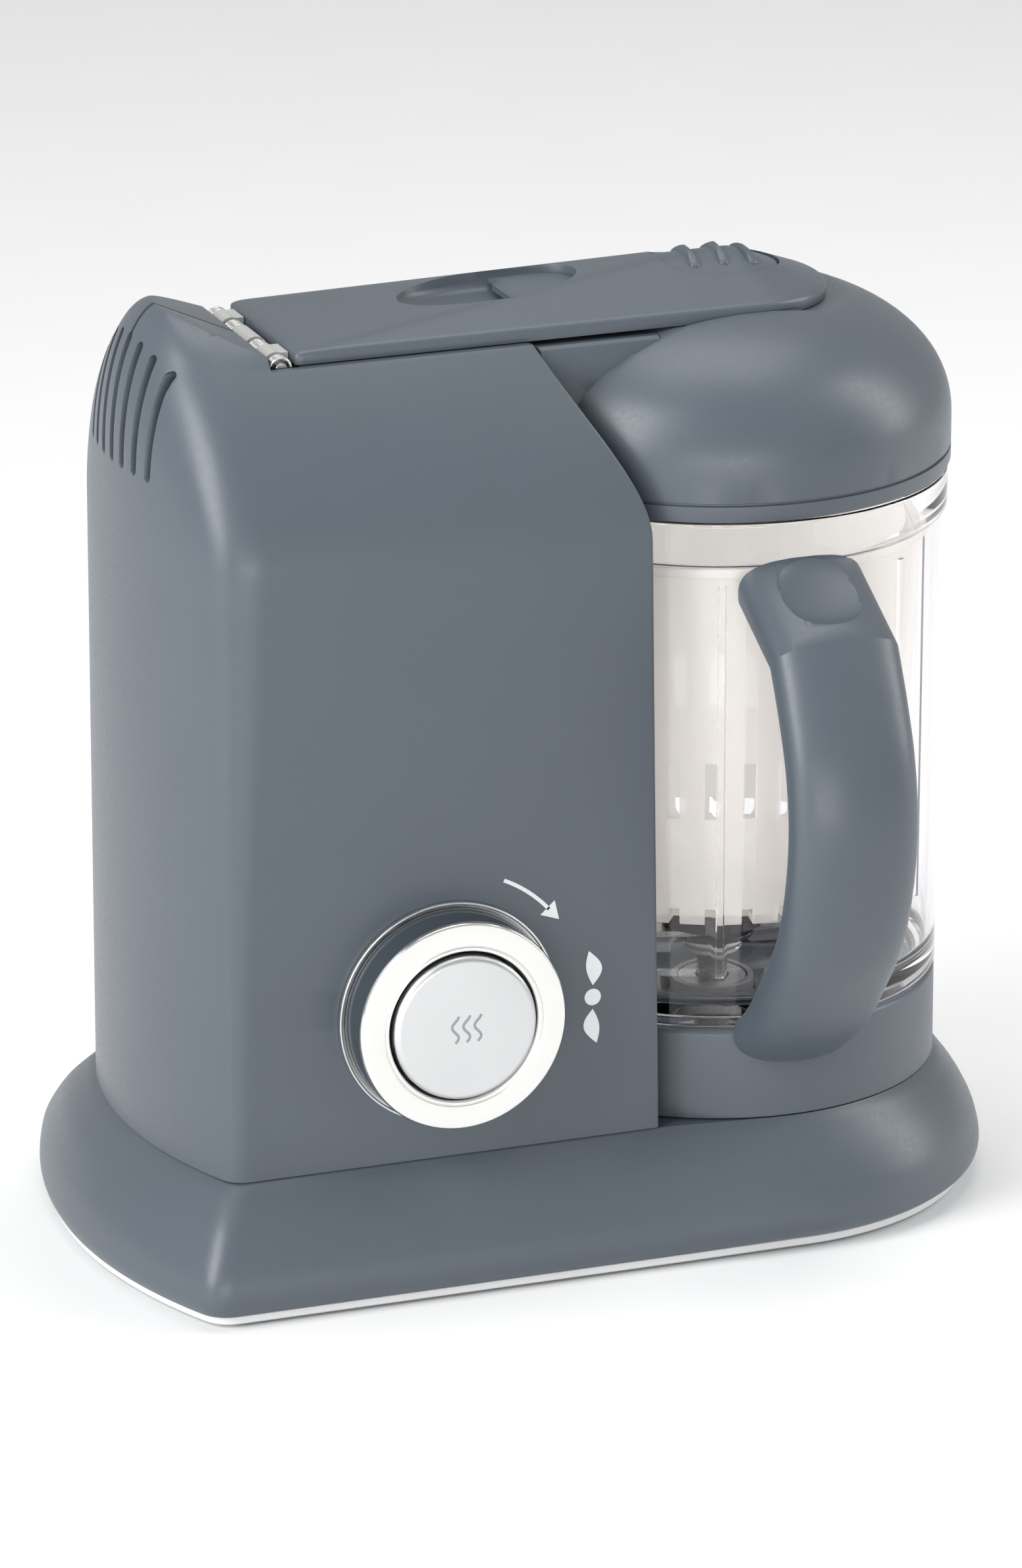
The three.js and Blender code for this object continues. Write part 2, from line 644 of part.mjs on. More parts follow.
function domeProfile(inset) {
  // A straight skirt, then a quarter of a squarish round up to the crown.
  const points = [[DOME_R - inset, DOME_BOTTOM_Z]];
  const rise = DOME_TOP_Z - inset - DOME_STRAIGHT_Z;
  const steps = 8;
  for (let i = 0; i <= steps; i += 1) {
    const angle = (Math.PI / 2) * (i / steps);
    const r = (DOME_R - inset) * Math.cos(angle) ** 0.86;
    const z = DOME_STRAIGHT_Z + rise * Math.sin(angle) ** 0.93;
    points.push([i === steps ? 0 : r, z]);
  }
  return points;
}

function domeLid() {
  const outerDome = turned([[0, DOME_BOTTOM_Z], ...domeProfile(0)], FINE);
  const below = DOME_BOTTOM_Z - 5;
  const innerDome = turned([[0, below], [DOME_R - WALL, below], ...domeProfile(WALL).slice(1)], FINE);
  const neck = box(-90, -30, -NECK_HALF, NECK_HALF, NECK_BOTTOM_Z, NECK_TOP_Z).intersect(jarSpace(1.6));
  const hollow = NECK_HALF - WALL;
  const neckInside = box(-66, -20, -hollow, hollow, NECK_BOTTOM_Z + WALL, NECK_TOP_Z - WALL)
    .intersect(jarSpace(1.6 + WALL));
  const armSeat = box(-90, 60, -ARM_HALF - 0.4, ARM_HALF + 0.4, ARM_Z - 0.4, 300);
  const deck = box(-90, 90, -ARM_HALF - 1, ARM_HALF + 1, ARM_Z - 3.2, 300); // stays solid below the arm
  const underDeck = innerDome.add(neckInside).subtract(deck);
  const nozzleWay = post(-30, 0, 6.4, 250, 275, ROUND);
  return cutAll(outerDome.add(neck), [underDeck, armSeat, nozzleWay]);
}

add('dome_lid', domeLid(), GREY);
add('lid_seal', ring(59.5, 64.8, DOME_BOTTOM_Z - 0.2, 221.5, FINE), SILICONE);
add('steam_nozzle', turned([[4, 250], [6, 250], [6, 263.4], [4, 263.4], [4, 250]], SMALL, -30), BLACK);

// ----------------------------------------------------------------------- arm

function armOutline(inset) {
  const half = ARM_HALF - inset;
  const points = [[ARM_LEFT_X + inset, half], [ARM_LEFT_X + inset, -half]];
  const steps = 14;
  for (let i = 0; i <= steps; i += 1) {
    const angle = Math.PI * (i / steps - 0.5);
    points.push([ARM_TIP_X - ARM_HALF + half * Math.cos(angle), half * Math.sin(angle)]);
  }
  return points;
}

// What lies under the arm's roof: two side slopes that meet round the tip, and a gently rising top.
function underRoof(drop) {
  const ridge = ARM_SIDE_Z + ROOF_SLOPE * ARM_HALF - drop - 0.3;
  const eaves = ridge + 0.3 - ROOF_SLOPE * 60;
  const tipCentre = ARM_TIP_X - ARM_HALF;
  const slopes = slabYZ([[-60, 200], [60, 200], [60, eaves], [0.8, ridge], [-0.8, ridge], [-60, eaves]],
    -200, tipCentre);
  const cone = turned([[0, 200], [60, 200], [60, eaves], [0.8, ridge], [0, ridge]], FINE, tipCentre);
  const topAt = (x) => ARM_SIDE_Z + 0.2 - drop + TOP_SLOPE * (x - ARM_LEFT_X);
  const top = slabXZ([[-200, 200], [100, 200], [100, topAt(100)], [-200, topAt(-200)]], -80, 80);
  return slopes.add(cone).intersect(top);
}

function oval(x, rx, ry, z0, z1) {
  const points = Array.from({ length: ROUND }, (_, i) => {
    const angle = (i / ROUND) * Math.PI * 2;
    return [x + rx * Math.cos(angle), ry * Math.sin(angle)];
  });
  return slabXY(points, z0, z1);
}

const COVER_Z = ARM_Z + TRAY + GAP;

function armCover() {
  const outer = slabXY(armOutline(0), COVER_Z, 290).intersect(underRoof(0));
  const inner = slabXY(armOutline(2.2), COVER_Z - 5, 290).intersect(underRoof(2));
  const recess = oval(RECESS.x, RECESS.rx, RECESS.ry, RECESS.floor, 300);
  const recessWall = oval(RECESS.x, RECESS.rx + 1.4, RECESS.ry + 1.4, RECESS.floor - 1.1, 300);
  const buttonWay = oval(BUTTON.x, BUTTON.rx + 0.4, BUTTON.ry + 0.4, 200, 300);
  const pocket = inner.subtract(recessWall);
  return cutAll(outer, [pocket, recess, buttonWay]);
}

function armTray() {
  const hookWay = box(-87, -77, SLIDER.y0 - 0.8, SLIDER.y1 + 0.8, 260, 280);
  const steamIn = post(BOILER.x + 8, 0, 7, 260, 280, ROUND);
  const steamOut = post(-30, 0, 5, 260, 280, ROUND);
  return cutAll(slabXY(armOutline(0), ARM_Z, ARM_Z + TRAY), [hookWay, steamIn, steamOut]);
}

// A flat duct that runs from over the tank, behind the finger recess, to the lid.
function steamDuct() {
  const run = (shrink, z0, z1) => {
    const back = box(-118 + shrink, -23 - shrink, 16.8 + shrink, 22.4 - shrink, z0, z1);
    const inlet = box(-118 + shrink, -101 - shrink, -6 + shrink, 22.4 - shrink, z0, z1);
    const outlet = box(-37 + shrink, -23 - shrink, -6 + shrink, 22.4 - shrink, z0, z1);
    return back.add(inlet).add(outlet);
  };
  const bore = run(0.8, COVER_Z - 1, COVER_Z + 1.1);
  return run(0, COVER_Z, COVER_Z + 1.9).intersect(underRoof(2.3)).subtract(bore);
}

function latchLever() {
  const plate = oval(RECESS.x, RECESS.rx - 0.6, RECESS.ry - 0.6, LEVER_Z, 300)
    .intersect(box(-66, -30, -20, 20, 200, 300))
    .intersect(underRoof(2.2));
  const tab = box(-66, -64, -8, 8, LEVER_Z - 1, LEVER_Z + 1);
  return plate.add(tab);
}

function releaseButton() {
  const cap = oval(BUTTON.x, BUTTON.rx, BUTTON.ry, BUTTON.bottom, 300).intersect(underRoof(0.7));
  const ribs = [-9, 0, 9].map((dx) => {
    const rib = box(BUTTON.x + dx - 1.1, BUTTON.x + dx + 1.1, -9, 9, 275, 300);
    return rib.intersect(underRoof(-0.9));
  });
  return ribs.reduce((all, rib) => all.add(rib), cap);
}

add('arm_cover', armCover(), GREY);
add('arm_tray', armTray(), GREY);
add('steam_duct', steamDuct(), SILICONE);
add('latch_lever', latchLever(), GREY);
add('latch_slider', box(-84.5, -58, SLIDER.y0, SLIDER.y1, COVER_Z, COVER_Z + 1.8)
  .add(box(-84.5, -81, SLIDER.y0, SLIDER.y1, 262, COVER_Z + 1.8)), BLACK);
add('release_button', releaseButton(), GREY);
add('button_spring', ring(3.6, 5, COVER_Z, BUTTON.bottom - GAP, SMALL, BUTTON.x), STEEL);

// --------------------------------------------------------------------- hinge

add('hinge_pin', bar(HINGE.x, HINGE.z, 1.7, -28.8, 28.8, SMALL), STEEL);

function knuckle(y0, y1, reachX) {
  const eye = bar(HINGE.x, HINGE.z, HINGE.r, y0, y1, SMALL);
  const web = box(HINGE.x, reachX, y0, y1, HINGE.z - 1.2, HINGE.z + 3.2);
  return eye.add(web).subtract(bar(HINGE.x, HINGE.z, 2.05, y0 - 1, y1 + 1, SMALL));
}

add('hinge_knuckle_front', knuckle(-23.5, -14.5, ARM_LEFT_X - GAP), WHITE);
add('hinge_knuckle_rear', knuckle(14.5, 23.5, ARM_LEFT_X - GAP), WHITE);
add('hinge_block', bar(HINGE.x, HINGE.z, HINGE.r, -6.5, 6.5, SMALL)
  .add(box(HINGE.x - HINGE.r, HINGE.x + HINGE.r, -6.5, 6.5, 259.8, HINGE.z))
  .subtract(bar(HINGE.x, HINGE.z, 2.05, -8, 8, SMALL)), WHITE);
[[-14, -7], [7, 14], [-28.6, -24], [24, 28.6]].forEach(([y0, y1], i) => {
  const coil = bar(HINGE.x, HINGE.z, HINGE.r - 0.2, y0, y1, SMALL);
  const bore = bar(HINGE.x, HINGE.z, 2.3, y0 - 1, y1 + 1, SMALL);
  add(`hinge_spring_${i + 1}`, coil.subtract(bore), STEEL);
});

// ---------------------------------------------------------------------- knob

function onKnob(profile, sides = FINE) {
  return turnedOnY(profile, KNOB.x, KNOB.z, sides);
}

const FACE_Y = -TOWER_HALF; // the tower's front face
const KNOB_BACK = FACE_Y - 3;
const KNOB_FLOOR = -68; // bottom of the well that the button sits in
const WELL_R = KNOB.button + 0.5;
const BUTTON_FRONT = KNOB.front - 2;

add('knob_bezel', onKnob([
  [26, FACE_Y - GAP], [33, FACE_Y - GAP], [33, FACE_Y - 1.8], [32.2, FACE_Y - 1.8],
  [32.2, FACE_Y - 1.2], [26, FACE_Y - 1.2], [26, FACE_Y - GAP],
]), CHROME);
add('knob_ring', onKnob([
  [4, KNOB_BACK], [KNOB.side, KNOB_BACK], [KNOB.side, KNOB.front + 2], [KNOB.r, KNOB.front + 1.4],
  [KNOB.r - 0.6, KNOB.front], [WELL_R + 0.5, KNOB.front], [WELL_R, KNOB.front + 1],
  [WELL_R, KNOB_FLOOR], [4, KNOB_FLOOR], [4, KNOB_BACK],
]), CHROME);
add('steam_button', onKnob([
  [0, -71.2], [KNOB.button, -71.2], [KNOB.button, BUTTON_FRONT + 1], [KNOB.button - 1, BUTTON_FRONT],
  [0, BUTTON_FRONT],
]), BRUSHED);
add('steam_button_spring', onKnob([
  [6, KNOB_FLOOR - GAP], [7.6, KNOB_FLOOR - GAP], [7.6, -70.9], [6, -70.9], [6, KNOB_FLOOR - GAP],
], ROUND), STEEL);
add('knob_shaft', onKnob([[0, -50], [3.2, -50], [3.2, KNOB_FLOOR], [0, KNOB_FLOOR]], SMALL), STEEL);
add('rotary_switch', box(KNOB.x - 13, KNOB.x + 13, -57.5, -45, KNOB.z - 13, KNOB.z + 13)
  .subtract(bar(KNOB.x, KNOB.z, 3.7, -60, -47, SMALL)), BLACK);
add('control_board', box(KNOB.x - 30, KNOB.x + 26, -43.8, -42.2, 50, 128), COPPER_BOARD);

export default machine;
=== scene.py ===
# Studio view of a countertop baby food maker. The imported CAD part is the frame; the
# surfaces that show and the springs are rebuilt finer here and move with its bodies.
# Shapes are written in millimetres about the jar's axis, z up from the base plate.

import json
import math

import bmesh
import bpy
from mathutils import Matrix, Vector


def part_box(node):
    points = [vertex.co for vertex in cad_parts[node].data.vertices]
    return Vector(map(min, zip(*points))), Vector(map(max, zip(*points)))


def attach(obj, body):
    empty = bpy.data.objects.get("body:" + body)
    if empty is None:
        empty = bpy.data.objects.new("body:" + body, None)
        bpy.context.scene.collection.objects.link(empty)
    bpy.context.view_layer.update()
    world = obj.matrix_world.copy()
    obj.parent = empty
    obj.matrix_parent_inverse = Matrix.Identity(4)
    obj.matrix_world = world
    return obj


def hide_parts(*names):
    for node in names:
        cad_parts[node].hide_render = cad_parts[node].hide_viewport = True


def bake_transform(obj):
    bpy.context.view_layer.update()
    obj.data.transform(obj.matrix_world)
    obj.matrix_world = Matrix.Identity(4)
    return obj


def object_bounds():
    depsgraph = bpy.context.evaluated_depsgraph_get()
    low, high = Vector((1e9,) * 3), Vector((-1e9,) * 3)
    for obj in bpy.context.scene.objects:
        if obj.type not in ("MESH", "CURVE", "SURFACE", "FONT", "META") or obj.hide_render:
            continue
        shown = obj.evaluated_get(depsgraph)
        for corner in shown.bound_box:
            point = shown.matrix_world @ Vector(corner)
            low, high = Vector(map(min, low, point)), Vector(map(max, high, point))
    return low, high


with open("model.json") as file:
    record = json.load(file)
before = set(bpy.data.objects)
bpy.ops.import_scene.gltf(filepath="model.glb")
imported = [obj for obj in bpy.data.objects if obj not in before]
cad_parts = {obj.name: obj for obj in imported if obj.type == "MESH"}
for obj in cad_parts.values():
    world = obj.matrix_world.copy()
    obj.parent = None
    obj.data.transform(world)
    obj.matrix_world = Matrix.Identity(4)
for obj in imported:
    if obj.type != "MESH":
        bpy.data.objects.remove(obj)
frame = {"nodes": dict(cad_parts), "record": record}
cad_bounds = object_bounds()

MM = 0.001
TAU = 2 * math.pi


def middle(node):
    low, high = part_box(node)
    return (low + high) / 2


axis = middle("jar_collar")
ORIGIN = Vector((axis.x, axis.y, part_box("base_plate")[0].z))

# ------------------------------------------------------------------ dimensions

DECK_Z = 37
GAP = 0.3
WALL = 2.6
TOWER_HALF = 61.5
CREASE_X = -170.5
TIP_X = -184
ARCH_START_Z = 215
CROWN_START_Z = 270
HUMP_TOP_Z = 281.3
TOWER_TOP_Z = 266.6
VALLEY_X = -147
COLLAR_R = 65.3
COLLAR_TOP_Z = 64.2
JAR_R = 65.6
JAR_WALL = 3
JAR_TOP_Z = 217.5
FLANGE_R = 67.2
FLANGE_Z = 205.5
JAR_FLOOR_Z = 70.5
BASKET_FLOOR_Z = 93
BASKET_TOP_Z = 203
BASKET_SLOTS = 32
DOME_R = 68
DOME_BOTTOM_Z = 218
DOME_STRAIGHT_Z = 232  # end of the dome's upright skirt
DOME_TOP_Z = 271.5
NECK_HALF = 32  # of the block that joins the dome to the arm
NECK_BOTTOM_Z = 246
NECK_TOP_Z = 265.4
STEAM_IN_X, STEAM_OUT_X = -104, -30  # openings in the arm's tray
ARM_HALF = 29
ARM_LEFT_X = -138.8
ARM_TIP_X = 31.5
ARM_Z = 267
TRAY = 1.6
COVER_Z = ARM_Z + TRAY + GAP
ARM_SIDE_Z = 270.6
ARM_SIDE_SLOPE, ARM_TOP_SLOPE = 0.38, 0.08
RECESS = (-71, 27, 14.5, 270.6)  # middle x, half length, half width, floor z
LEVER_Z = 273
BUTTON = (-1, 19, 14.5, 273.4)  # middle x, half length, half width, underside z
TONGUE_X, TONGUE_Y = (-87, -77), -17.9  # where the latch's tongue passes through
HINGE_X, HINGE_Z, HINGE_R = -143, 266.4, 3.6
TROUGH_RIGHT_X, TROUGH_HALF, TROUGH_FLOOR_Z = -137.2, 29.4, 259.5  # room for the hinge
BOILER_X = -112
TANK_MOUTH_R = 20.6
LEAD_X, LEAD_Z = -120, 12  # inlet of the mains lead
KNOB_X, KNOB_Z = -106, 81.5
FACE_Y = -TOWER_HALF
KNOB_FRONT = -75.5
KNOB_FLOOR = -68  # bottom of the well that the knob's button sits in
KNOB_BUTTON_BACK = -71.2
FINE = 160  # segments of a large turned piece

# ------------------------------------------------------------------- materials


class Nodes:
    """A material's node tree with short ways to add and join nodes."""

    def __init__(self, name):
        self.material = bpy.data.materials.new(name)
        self.material.use_nodes = True
        self.tree = self.material.node_tree
        self.shader = self.tree.nodes["Principled BSDF"]
        self.output = self.tree.nodes["Material Output"]
        self.place = self.add("ShaderNodeTexCoord").outputs["Object"]

    def add(self, kind, **values):
        node = self.tree.nodes.new(kind)
        for key, value in values.items():
            setattr(node, key, value)
        return node

    def join(self, source, target):
        self.tree.links.new(source, target)

    def noise(self, scale, detail, stretch=None):
        node = self.add("ShaderNodeTexNoise")
        node.inputs["Scale"].default_value = scale
        node.inputs["Detail"].default_value = detail
        source = self.place
        if stretch:
            mapping = self.add("ShaderNodeMapping")
            mapping.inputs["Scale"].default_value = stretch
            self.join(source, mapping.inputs["Vector"])
            source = mapping.outputs["Vector"]
        self.join(source, node.inputs["Vector"])
        return node.outputs["Fac"]

    def spread(self, factor, low, high):
        node = self.add("ShaderNodeMapRange")
        node.inputs["From Min"].default_value = 0.3
        node.inputs["From Max"].default_value = 0.7
        node.inputs["To Min"].default_value = low
        node.inputs["To Max"].default_value = high
        self.join(factor, node.inputs["Value"])
        return node.outputs["Result"]

    def tint(self, factor, dark, light):
        node = self.add("ShaderNodeMix", data_type="RGBA")
        self.join(factor, node.inputs["Factor"])
        node.inputs["A"].default_value = (*dark, 1)
        node.inputs["B"].default_value = (*light, 1)
        self.join(node.outputs["Result"], self.shader.inputs["Base Color"])

    def bump(self, heights, distance):
        node = self.add("ShaderNodeBump")
        node.inputs["Strength"].default_value = 0.6
        node.inputs["Distance"].default_value = distance
        self.join(heights, node.inputs["Height"])
        self.join(node.outputs["Normal"], self.shader.inputs["Normal"])


def shaded(colour, share):
    return tuple(c * share for c in colour)


def surface(name, colour, rough, grain, depth, metal=0.0, stretch=None, vary=0.05, coat=0.0):
    """A moulded, cast or brushed surface: mottled colour, uneven gloss and a fine relief."""
    n = Nodes(name)
    n.tint(n.noise(35, 4), shaded(colour, 1 - vary), shaded(colour, 1 + vary))
    relief = n.noise(grain, 2, stretch)
    gloss = n.spread(n.noise(grain * 0.4, 3, stretch), *rough)
    n.join(gloss, n.shader.inputs["Roughness"])
    n.bump(relief, depth)
    n.shader.inputs["Metallic"].default_value = metal
    n.shader.inputs["Coat Weight"].default_value = coat
    n.shader.inputs["Coat Roughness"].default_value = 0.2
    return n.material


def clear_plastic(name, colour, rough, ior):
    """Clear moulded plastic that lets the lamps' light into the jar."""
    n = Nodes(name)
    n.tint(n.noise(20, 2), shaded(colour, 0.985), colour)
    n.join(n.spread(n.noise(60, 3), rough, rough * 2.5), n.shader.inputs["Roughness"])
    n.shader.inputs["Transmission Weight"].default_value = 1
    n.shader.inputs["IOR"].default_value = ior
    n.bump(n.noise(25, 1), 0.00002)
    path = n.add("ShaderNodeLightPath")
    clear = n.add("ShaderNodeBsdfTransparent")
    clear.inputs["Color"].default_value = (0.96, 0.955, 0.97, 1)
    mix = n.add("ShaderNodeMixShader")
    n.join(path.outputs["Is Shadow Ray"], mix.inputs["Fac"])
    n.join(n.shader.outputs["BSDF"], mix.inputs[1])
    n.join(clear.outputs["BSDF"], mix.inputs[2])
    n.join(mix.outputs["Shader"], n.output.inputs["Surface"])
    return n.material


def milky_plastic(name, colour):
    """Translucent white plastic: light comes through it softly."""
    n = Nodes(name)
    n.tint(n.noise(30, 3), shaded(colour, 0.98), colour)
    n.join(n.spread(n.noise(300, 3), 0.3, 0.42), n.shader.inputs["Roughness"])
    n.bump(n.noise(500, 2), 0.00003)
    through = n.add("ShaderNodeBsdfTranslucent")
    through.inputs["Color"].default_value = (*colour, 1)
    clear = n.add("ShaderNodeBsdfTransparent")
    clear.inputs["Color"].default_value = (0.98, 0.97, 0.95, 1)
    soft = n.add("ShaderNodeMixShader")
    soft.inputs["Fac"].default_value = 0.5
    n.join(n.shader.outputs["BSDF"], soft.inputs[1])
    n.join(through.outputs["BSDF"], soft.inputs[2])
    path = n.add("ShaderNodeLightPath")
    share = n.add("ShaderNodeMath", operation="MULTIPLY_ADD")
    n.join(path.outputs["Is Shadow Ray"], share.inputs[0])
    share.inputs[1].default_value = 0.4  # clearer by this for the lamps' light
    share.inputs[2].default_value = 0.44  # clear to the eye
    mix = n.add("ShaderNodeMixShader")
    n.join(share.outputs["Value"], mix.inputs["Fac"])
    n.join(soft.outputs["Shader"], mix.inputs[1])
    n.join(clear.outputs["BSDF"], mix.inputs[2])
    n.join(mix.outputs["Shader"], n.output.inputs["Surface"])
    return n.material


SLATE = (0.073, 0.089, 0.107)
FINISH = {
    "body_grey": surface("slate satin plastic", SLATE, (0.33, 0.41), 2200, 0.00003),
    "plate_pale": surface("pale plastic", (0.66, 0.67, 0.68), (0.4, 0.5), 1500, 0.00003),
    "foot_rubber": surface("rubber", (0.03, 0.03, 0.032), (0.7, 0.9), 1200, 0.00008),
    "jar_clear": clear_plastic("clear plastic", (0.985, 0.98, 0.995), 0.01, 1.4),
    "basket_milky": milky_plastic("milky plastic", (0.985, 0.97, 0.935)),
    "silicone": surface("silicone", (0.6, 0.58, 0.54), (0.45, 0.6), 900, 0.00003),
    "black_plastic": surface("black plastic", (0.018, 0.018, 0.02), (0.25, 0.4), 1500, 0.00003),
    "steel": surface("steel", (0.58, 0.58, 0.57), (0.2, 0.34), 500, 0.00002, 1.0, (1, 1, 12)),
    "chrome": surface("satin chrome", (0.8, 0.8, 0.78), (0.14, 0.22), 900, 0.00001, 1.0),
    "button_silver": surface(
        "brushed silver", (0.64, 0.65, 0.655), (0.3, 0.42), 1600, 0.00002, 1.0, (0.04, 1, 1)
    ),
    "aluminium": surface("cast aluminium", (0.5, 0.51, 0.52), (0.35, 0.5), 1200, 0.00005, 1.0),
    "board_green": surface("circuit board", (0.02, 0.12, 0.06), (0.3, 0.5), 700, 0.00005),
    # the hinge's white acetal is greyed here as painted shade, for the shadow in the low gap behind
    # the hump where the hinge lies
    "hinge_white": surface("acetal greyed as painted shade", (0.4, 0.4, 0.39), (0.35, 0.45), 1200, 0.00003),
}
PRINT = surface("pale print", (0.68, 0.7, 0.72), (0.45, 0.55), 1500, 0.00001)
ENGRAVED = surface("engraved grey", (0.3, 0.31, 0.32), (0.4, 0.55), 1500, 0.00001, 0.6)
KNOB_SIDE = surface("dark gloss", (0.04, 0.05, 0.06), (0.12, 0.2), 900, 0.00001)

# -------------------------------------------------------------- mesh functions


def mesh_object(name, points, faces):
    """A closed mesh from points in millimetres, with its faces turned outwards."""
    mesh = bpy.data.meshes.new(name)
    mesh.from_pydata([ORIGIN + Vector(p) * MM for p in points], [], faces)
    work = bmesh.new()
    work.from_mesh(mesh)
    bmesh.ops.recalc_face_normals(work, faces=work.faces)
    if work.calc_volume(signed=True) < 0:
        bmesh.ops.reverse_faces(work, faces=work.faces)
    work.to_mesh(mesh)
    work.free()
    obj = bpy.data.objects.new(name, mesh)
    bpy.context.scene.collection.objects.link(obj)
    return obj


def loft(name, rings):
    """A skin over rings of the same number of points, closed flat at both ends."""
    count = len(rings[0])
    points = [p for ring in rings for p in ring]
    faces = []
    for level in range(len(rings) - 1):
        for i in range(count):
            j = (i + 1) % count
            a, b = level * count + i, level * count + j
            faces.append((a, b, b + count, a + count))
    faces.append(tuple(reversed(range(count))))
    faces.append(tuple(range(len(points) - count, len(points))))
    return mesh_object(name, points, faces)


def rounded(points, radius, closed=True, steps=4):
    """An outline with its corners rounded; a third number is a corner's own radius."""
    out = []
    for i, corner in enumerate(points):
        r = corner[2] if len(corner) > 2 else radius
        here = Vector(corner[:2])
        if r == 0 or (not closed and i in (0, len(points) - 1)):
            out.append(tuple(here))
            continue
        before = Vector(points[i - 1][:2]) - here
        after = Vector(points[(i + 1) % len(points)][:2]) - here
        start = here + before.normalized() * min(r, before.length * 0.45)
        end = here + after.normalized() * min(r, after.length * 0.45)
        for k in range(steps + 1):
            t = k / steps
            out.append(tuple(start * (1 - t) ** 2 + here * 2 * t * (1 - t) + end * t * t))
    return out


def turned(name, profile, segments, centre=(0, 0), upright=True):
    """A turned piece about a vertical axis, or about one along y, from (radius, height)."""
    points, rows = [], []
    for r, h in profile:
        count = 1 if r < 1e-6 else segments
        rows.append((len(points), count))
        for i in range(count):
            a, b = r * math.cos(TAU * i / segments), r * math.sin(TAU * i / segments)
            if upright:
                points.append((centre[0] + a, centre[1] + b, h))
            else:
                points.append((centre[0] + a, h, centre[1] + b))
    faces = []
    on_axis = rows[0][1] == 1 and rows[-1][1] == 1
    for (first, n), (second, m) in zip(rows, rows[1:] + ([] if on_axis else rows[:1])):
        for i in range(segments):
            j = (i + 1) % segments
            corners = [first + i % n, first + j % n, second + j % m, second + i % m]
            face = tuple(dict.fromkeys(corners))
            if len(face) > 2:
                faces.append(face)
    return mesh_object(name, points, faces)


def block(x0, x1, y0, y1, z0, z1):
    ring = [(x0, y0), (x1, y0), (x1, y1), (x0, y1)]
    return loft("tool", [[(x, y, z) for x, y in ring] for z in (z0, z1)])


def prism_xz(outline, y0, y1):
    return loft("tool", [[(x, y, z) for x, z in outline] for y in (y0, y1)])


def post(x, y, r, z0, z1):
    return turned("tool", [(0, z0), (r, z0), (r, z1), (0, z1)], 64, (x, y))


def bar(x, z, r, y0, y1):
    return turned("tool", [(0, y0), (r, y0), (r, y1), (0, y1)], 48, (x, z), False)


def combined(obj, operation, tools):
    """obj joined with, cut by or kept within the tools, which are used up."""
    for tool in tools:
        change = obj.modifiers.new("shape", "BOOLEAN")
        change.operation, change.solver, change.object = operation, "EXACT", tool
    fix_modifiers(obj)
    for tool in tools:
        bpy.data.objects.remove(tool)


def cut(obj, *tools):
    combined(obj, "DIFFERENCE", tools)


def joined(obj, *tools):
    combined(obj, "UNION", tools)


def fix_modifiers(obj):
    graph = bpy.context.evaluated_depsgraph_get()
    made = bpy.data.meshes.new_from_object(obj.evaluated_get(graph))
    obj.modifiers.clear()
    obj.data = made


def soften(obj, width, segments, angle=32):
    """Rounds the sharp edges by a small width in millimetres."""
    change = obj.modifiers.new("edges", "BEVEL")
    change.width, change.segments = width * MM, segments
    change.limit_method, change.angle_limit = "ANGLE", math.radians(angle)
    change.use_clamp_overlap = True
    fix_modifiers(obj)


def show(obj, body, slot, nodes=(), material=None, crease=38, pressed_by=None):
    """Puts a finished piece on its body, with its finish, in place of the CAD nodes.
    A spring's pressed_by is the body on its far end, and the places of its fixed and far ends;
    these are not used: a spring given it is only fixed in place where it stands, on no body."""
    obj.data.materials.clear()
    obj.data.materials.append(material or FINISH[slot])
    for face in obj.data.polygons:
        face.use_smooth = True
    obj.data.set_sharp_from_angle(angle=math.radians(crease))
    if pressed_by:
        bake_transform(obj)
    else:
        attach(obj, body)
    if nodes:
        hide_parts(*nodes)


def ease(t):
    t = min(1, max(0, t))
    return t * t * (3 - 2 * t)


def soft_least(a, b, blend):
    """The smaller of two heights, with the crease between them rounded."""
    h = min(1, max(0, 0.5 + 0.5 * (b - a) / blend))
    return b * (1 - h) + a * h - blend * h * (1 - h)


def corner(before, at, after, reach, steps=8):
    """Points round a corner that starts and ends reach away from it."""
    a, p, b = Vector(before), Vector(at), Vector(after)
    start = p + (a - p).normalized() * reach
    end = p + (b - p).normalized() * reach
    points = []
    for k in range(steps + 1):
        t = k / steps
        points.append(start * (1 - t) ** 2 + p * 2 * t * (1 - t) + end * t * t)
    return [tuple(q) for q in points]


END_STEPS = 36  # along the curved left end between its creases


def end_radius(x, half, tip):
    """Radius of the arc through (x, -half), (tip, 0) and (x, half)."""
    rise = max(x - tip, 0.05)
    return (half * half + rise * rise) / (2 * rise)


def end_arc(x, half, tip, steps=44):
    """The curved left end in plan, from +y to -y."""
    radius = end_radius(x, half, tip)
    spread = math.asin(min(1, half / radius))
    angles = [spread * (1 - 2 * i / steps) for i in range(steps + 1)]
    return [(tip + radius * (1 - math.cos(a)), radius * math.sin(a)) for a in angles]


def left_end(x, half, tip, reach):
    """The left end with both of its creases rounded over the given reach."""
    arc = end_arc(x, half, tip)
    reach = min(reach, half * 0.4)
    keep = [p for p in arc if abs(p[1]) < half - reach * 0.9]
    while len(keep) < 3:
        keep = arc[len(arc) // 2 - 1 : len(arc) // 2 + 2]
    back = corner((x + 50, half), (x, half), keep[0], reach)
    front = corner(keep[-1], (x, -half), (x + 50, -half), reach)
    first, last = Vector(back[-1]), Vector(front[0])
    radius = end_radius(x, half, tip)
    between = []
    for i in range(1, END_STEPS):
        y = first.y + (last.y - first.y) * i / END_STEPS
        between.append((tip + radius - math.sqrt(max(0, radius * radius - y * y)), y))
    return back + between + front


# ------------------------------------------------------------------------ base

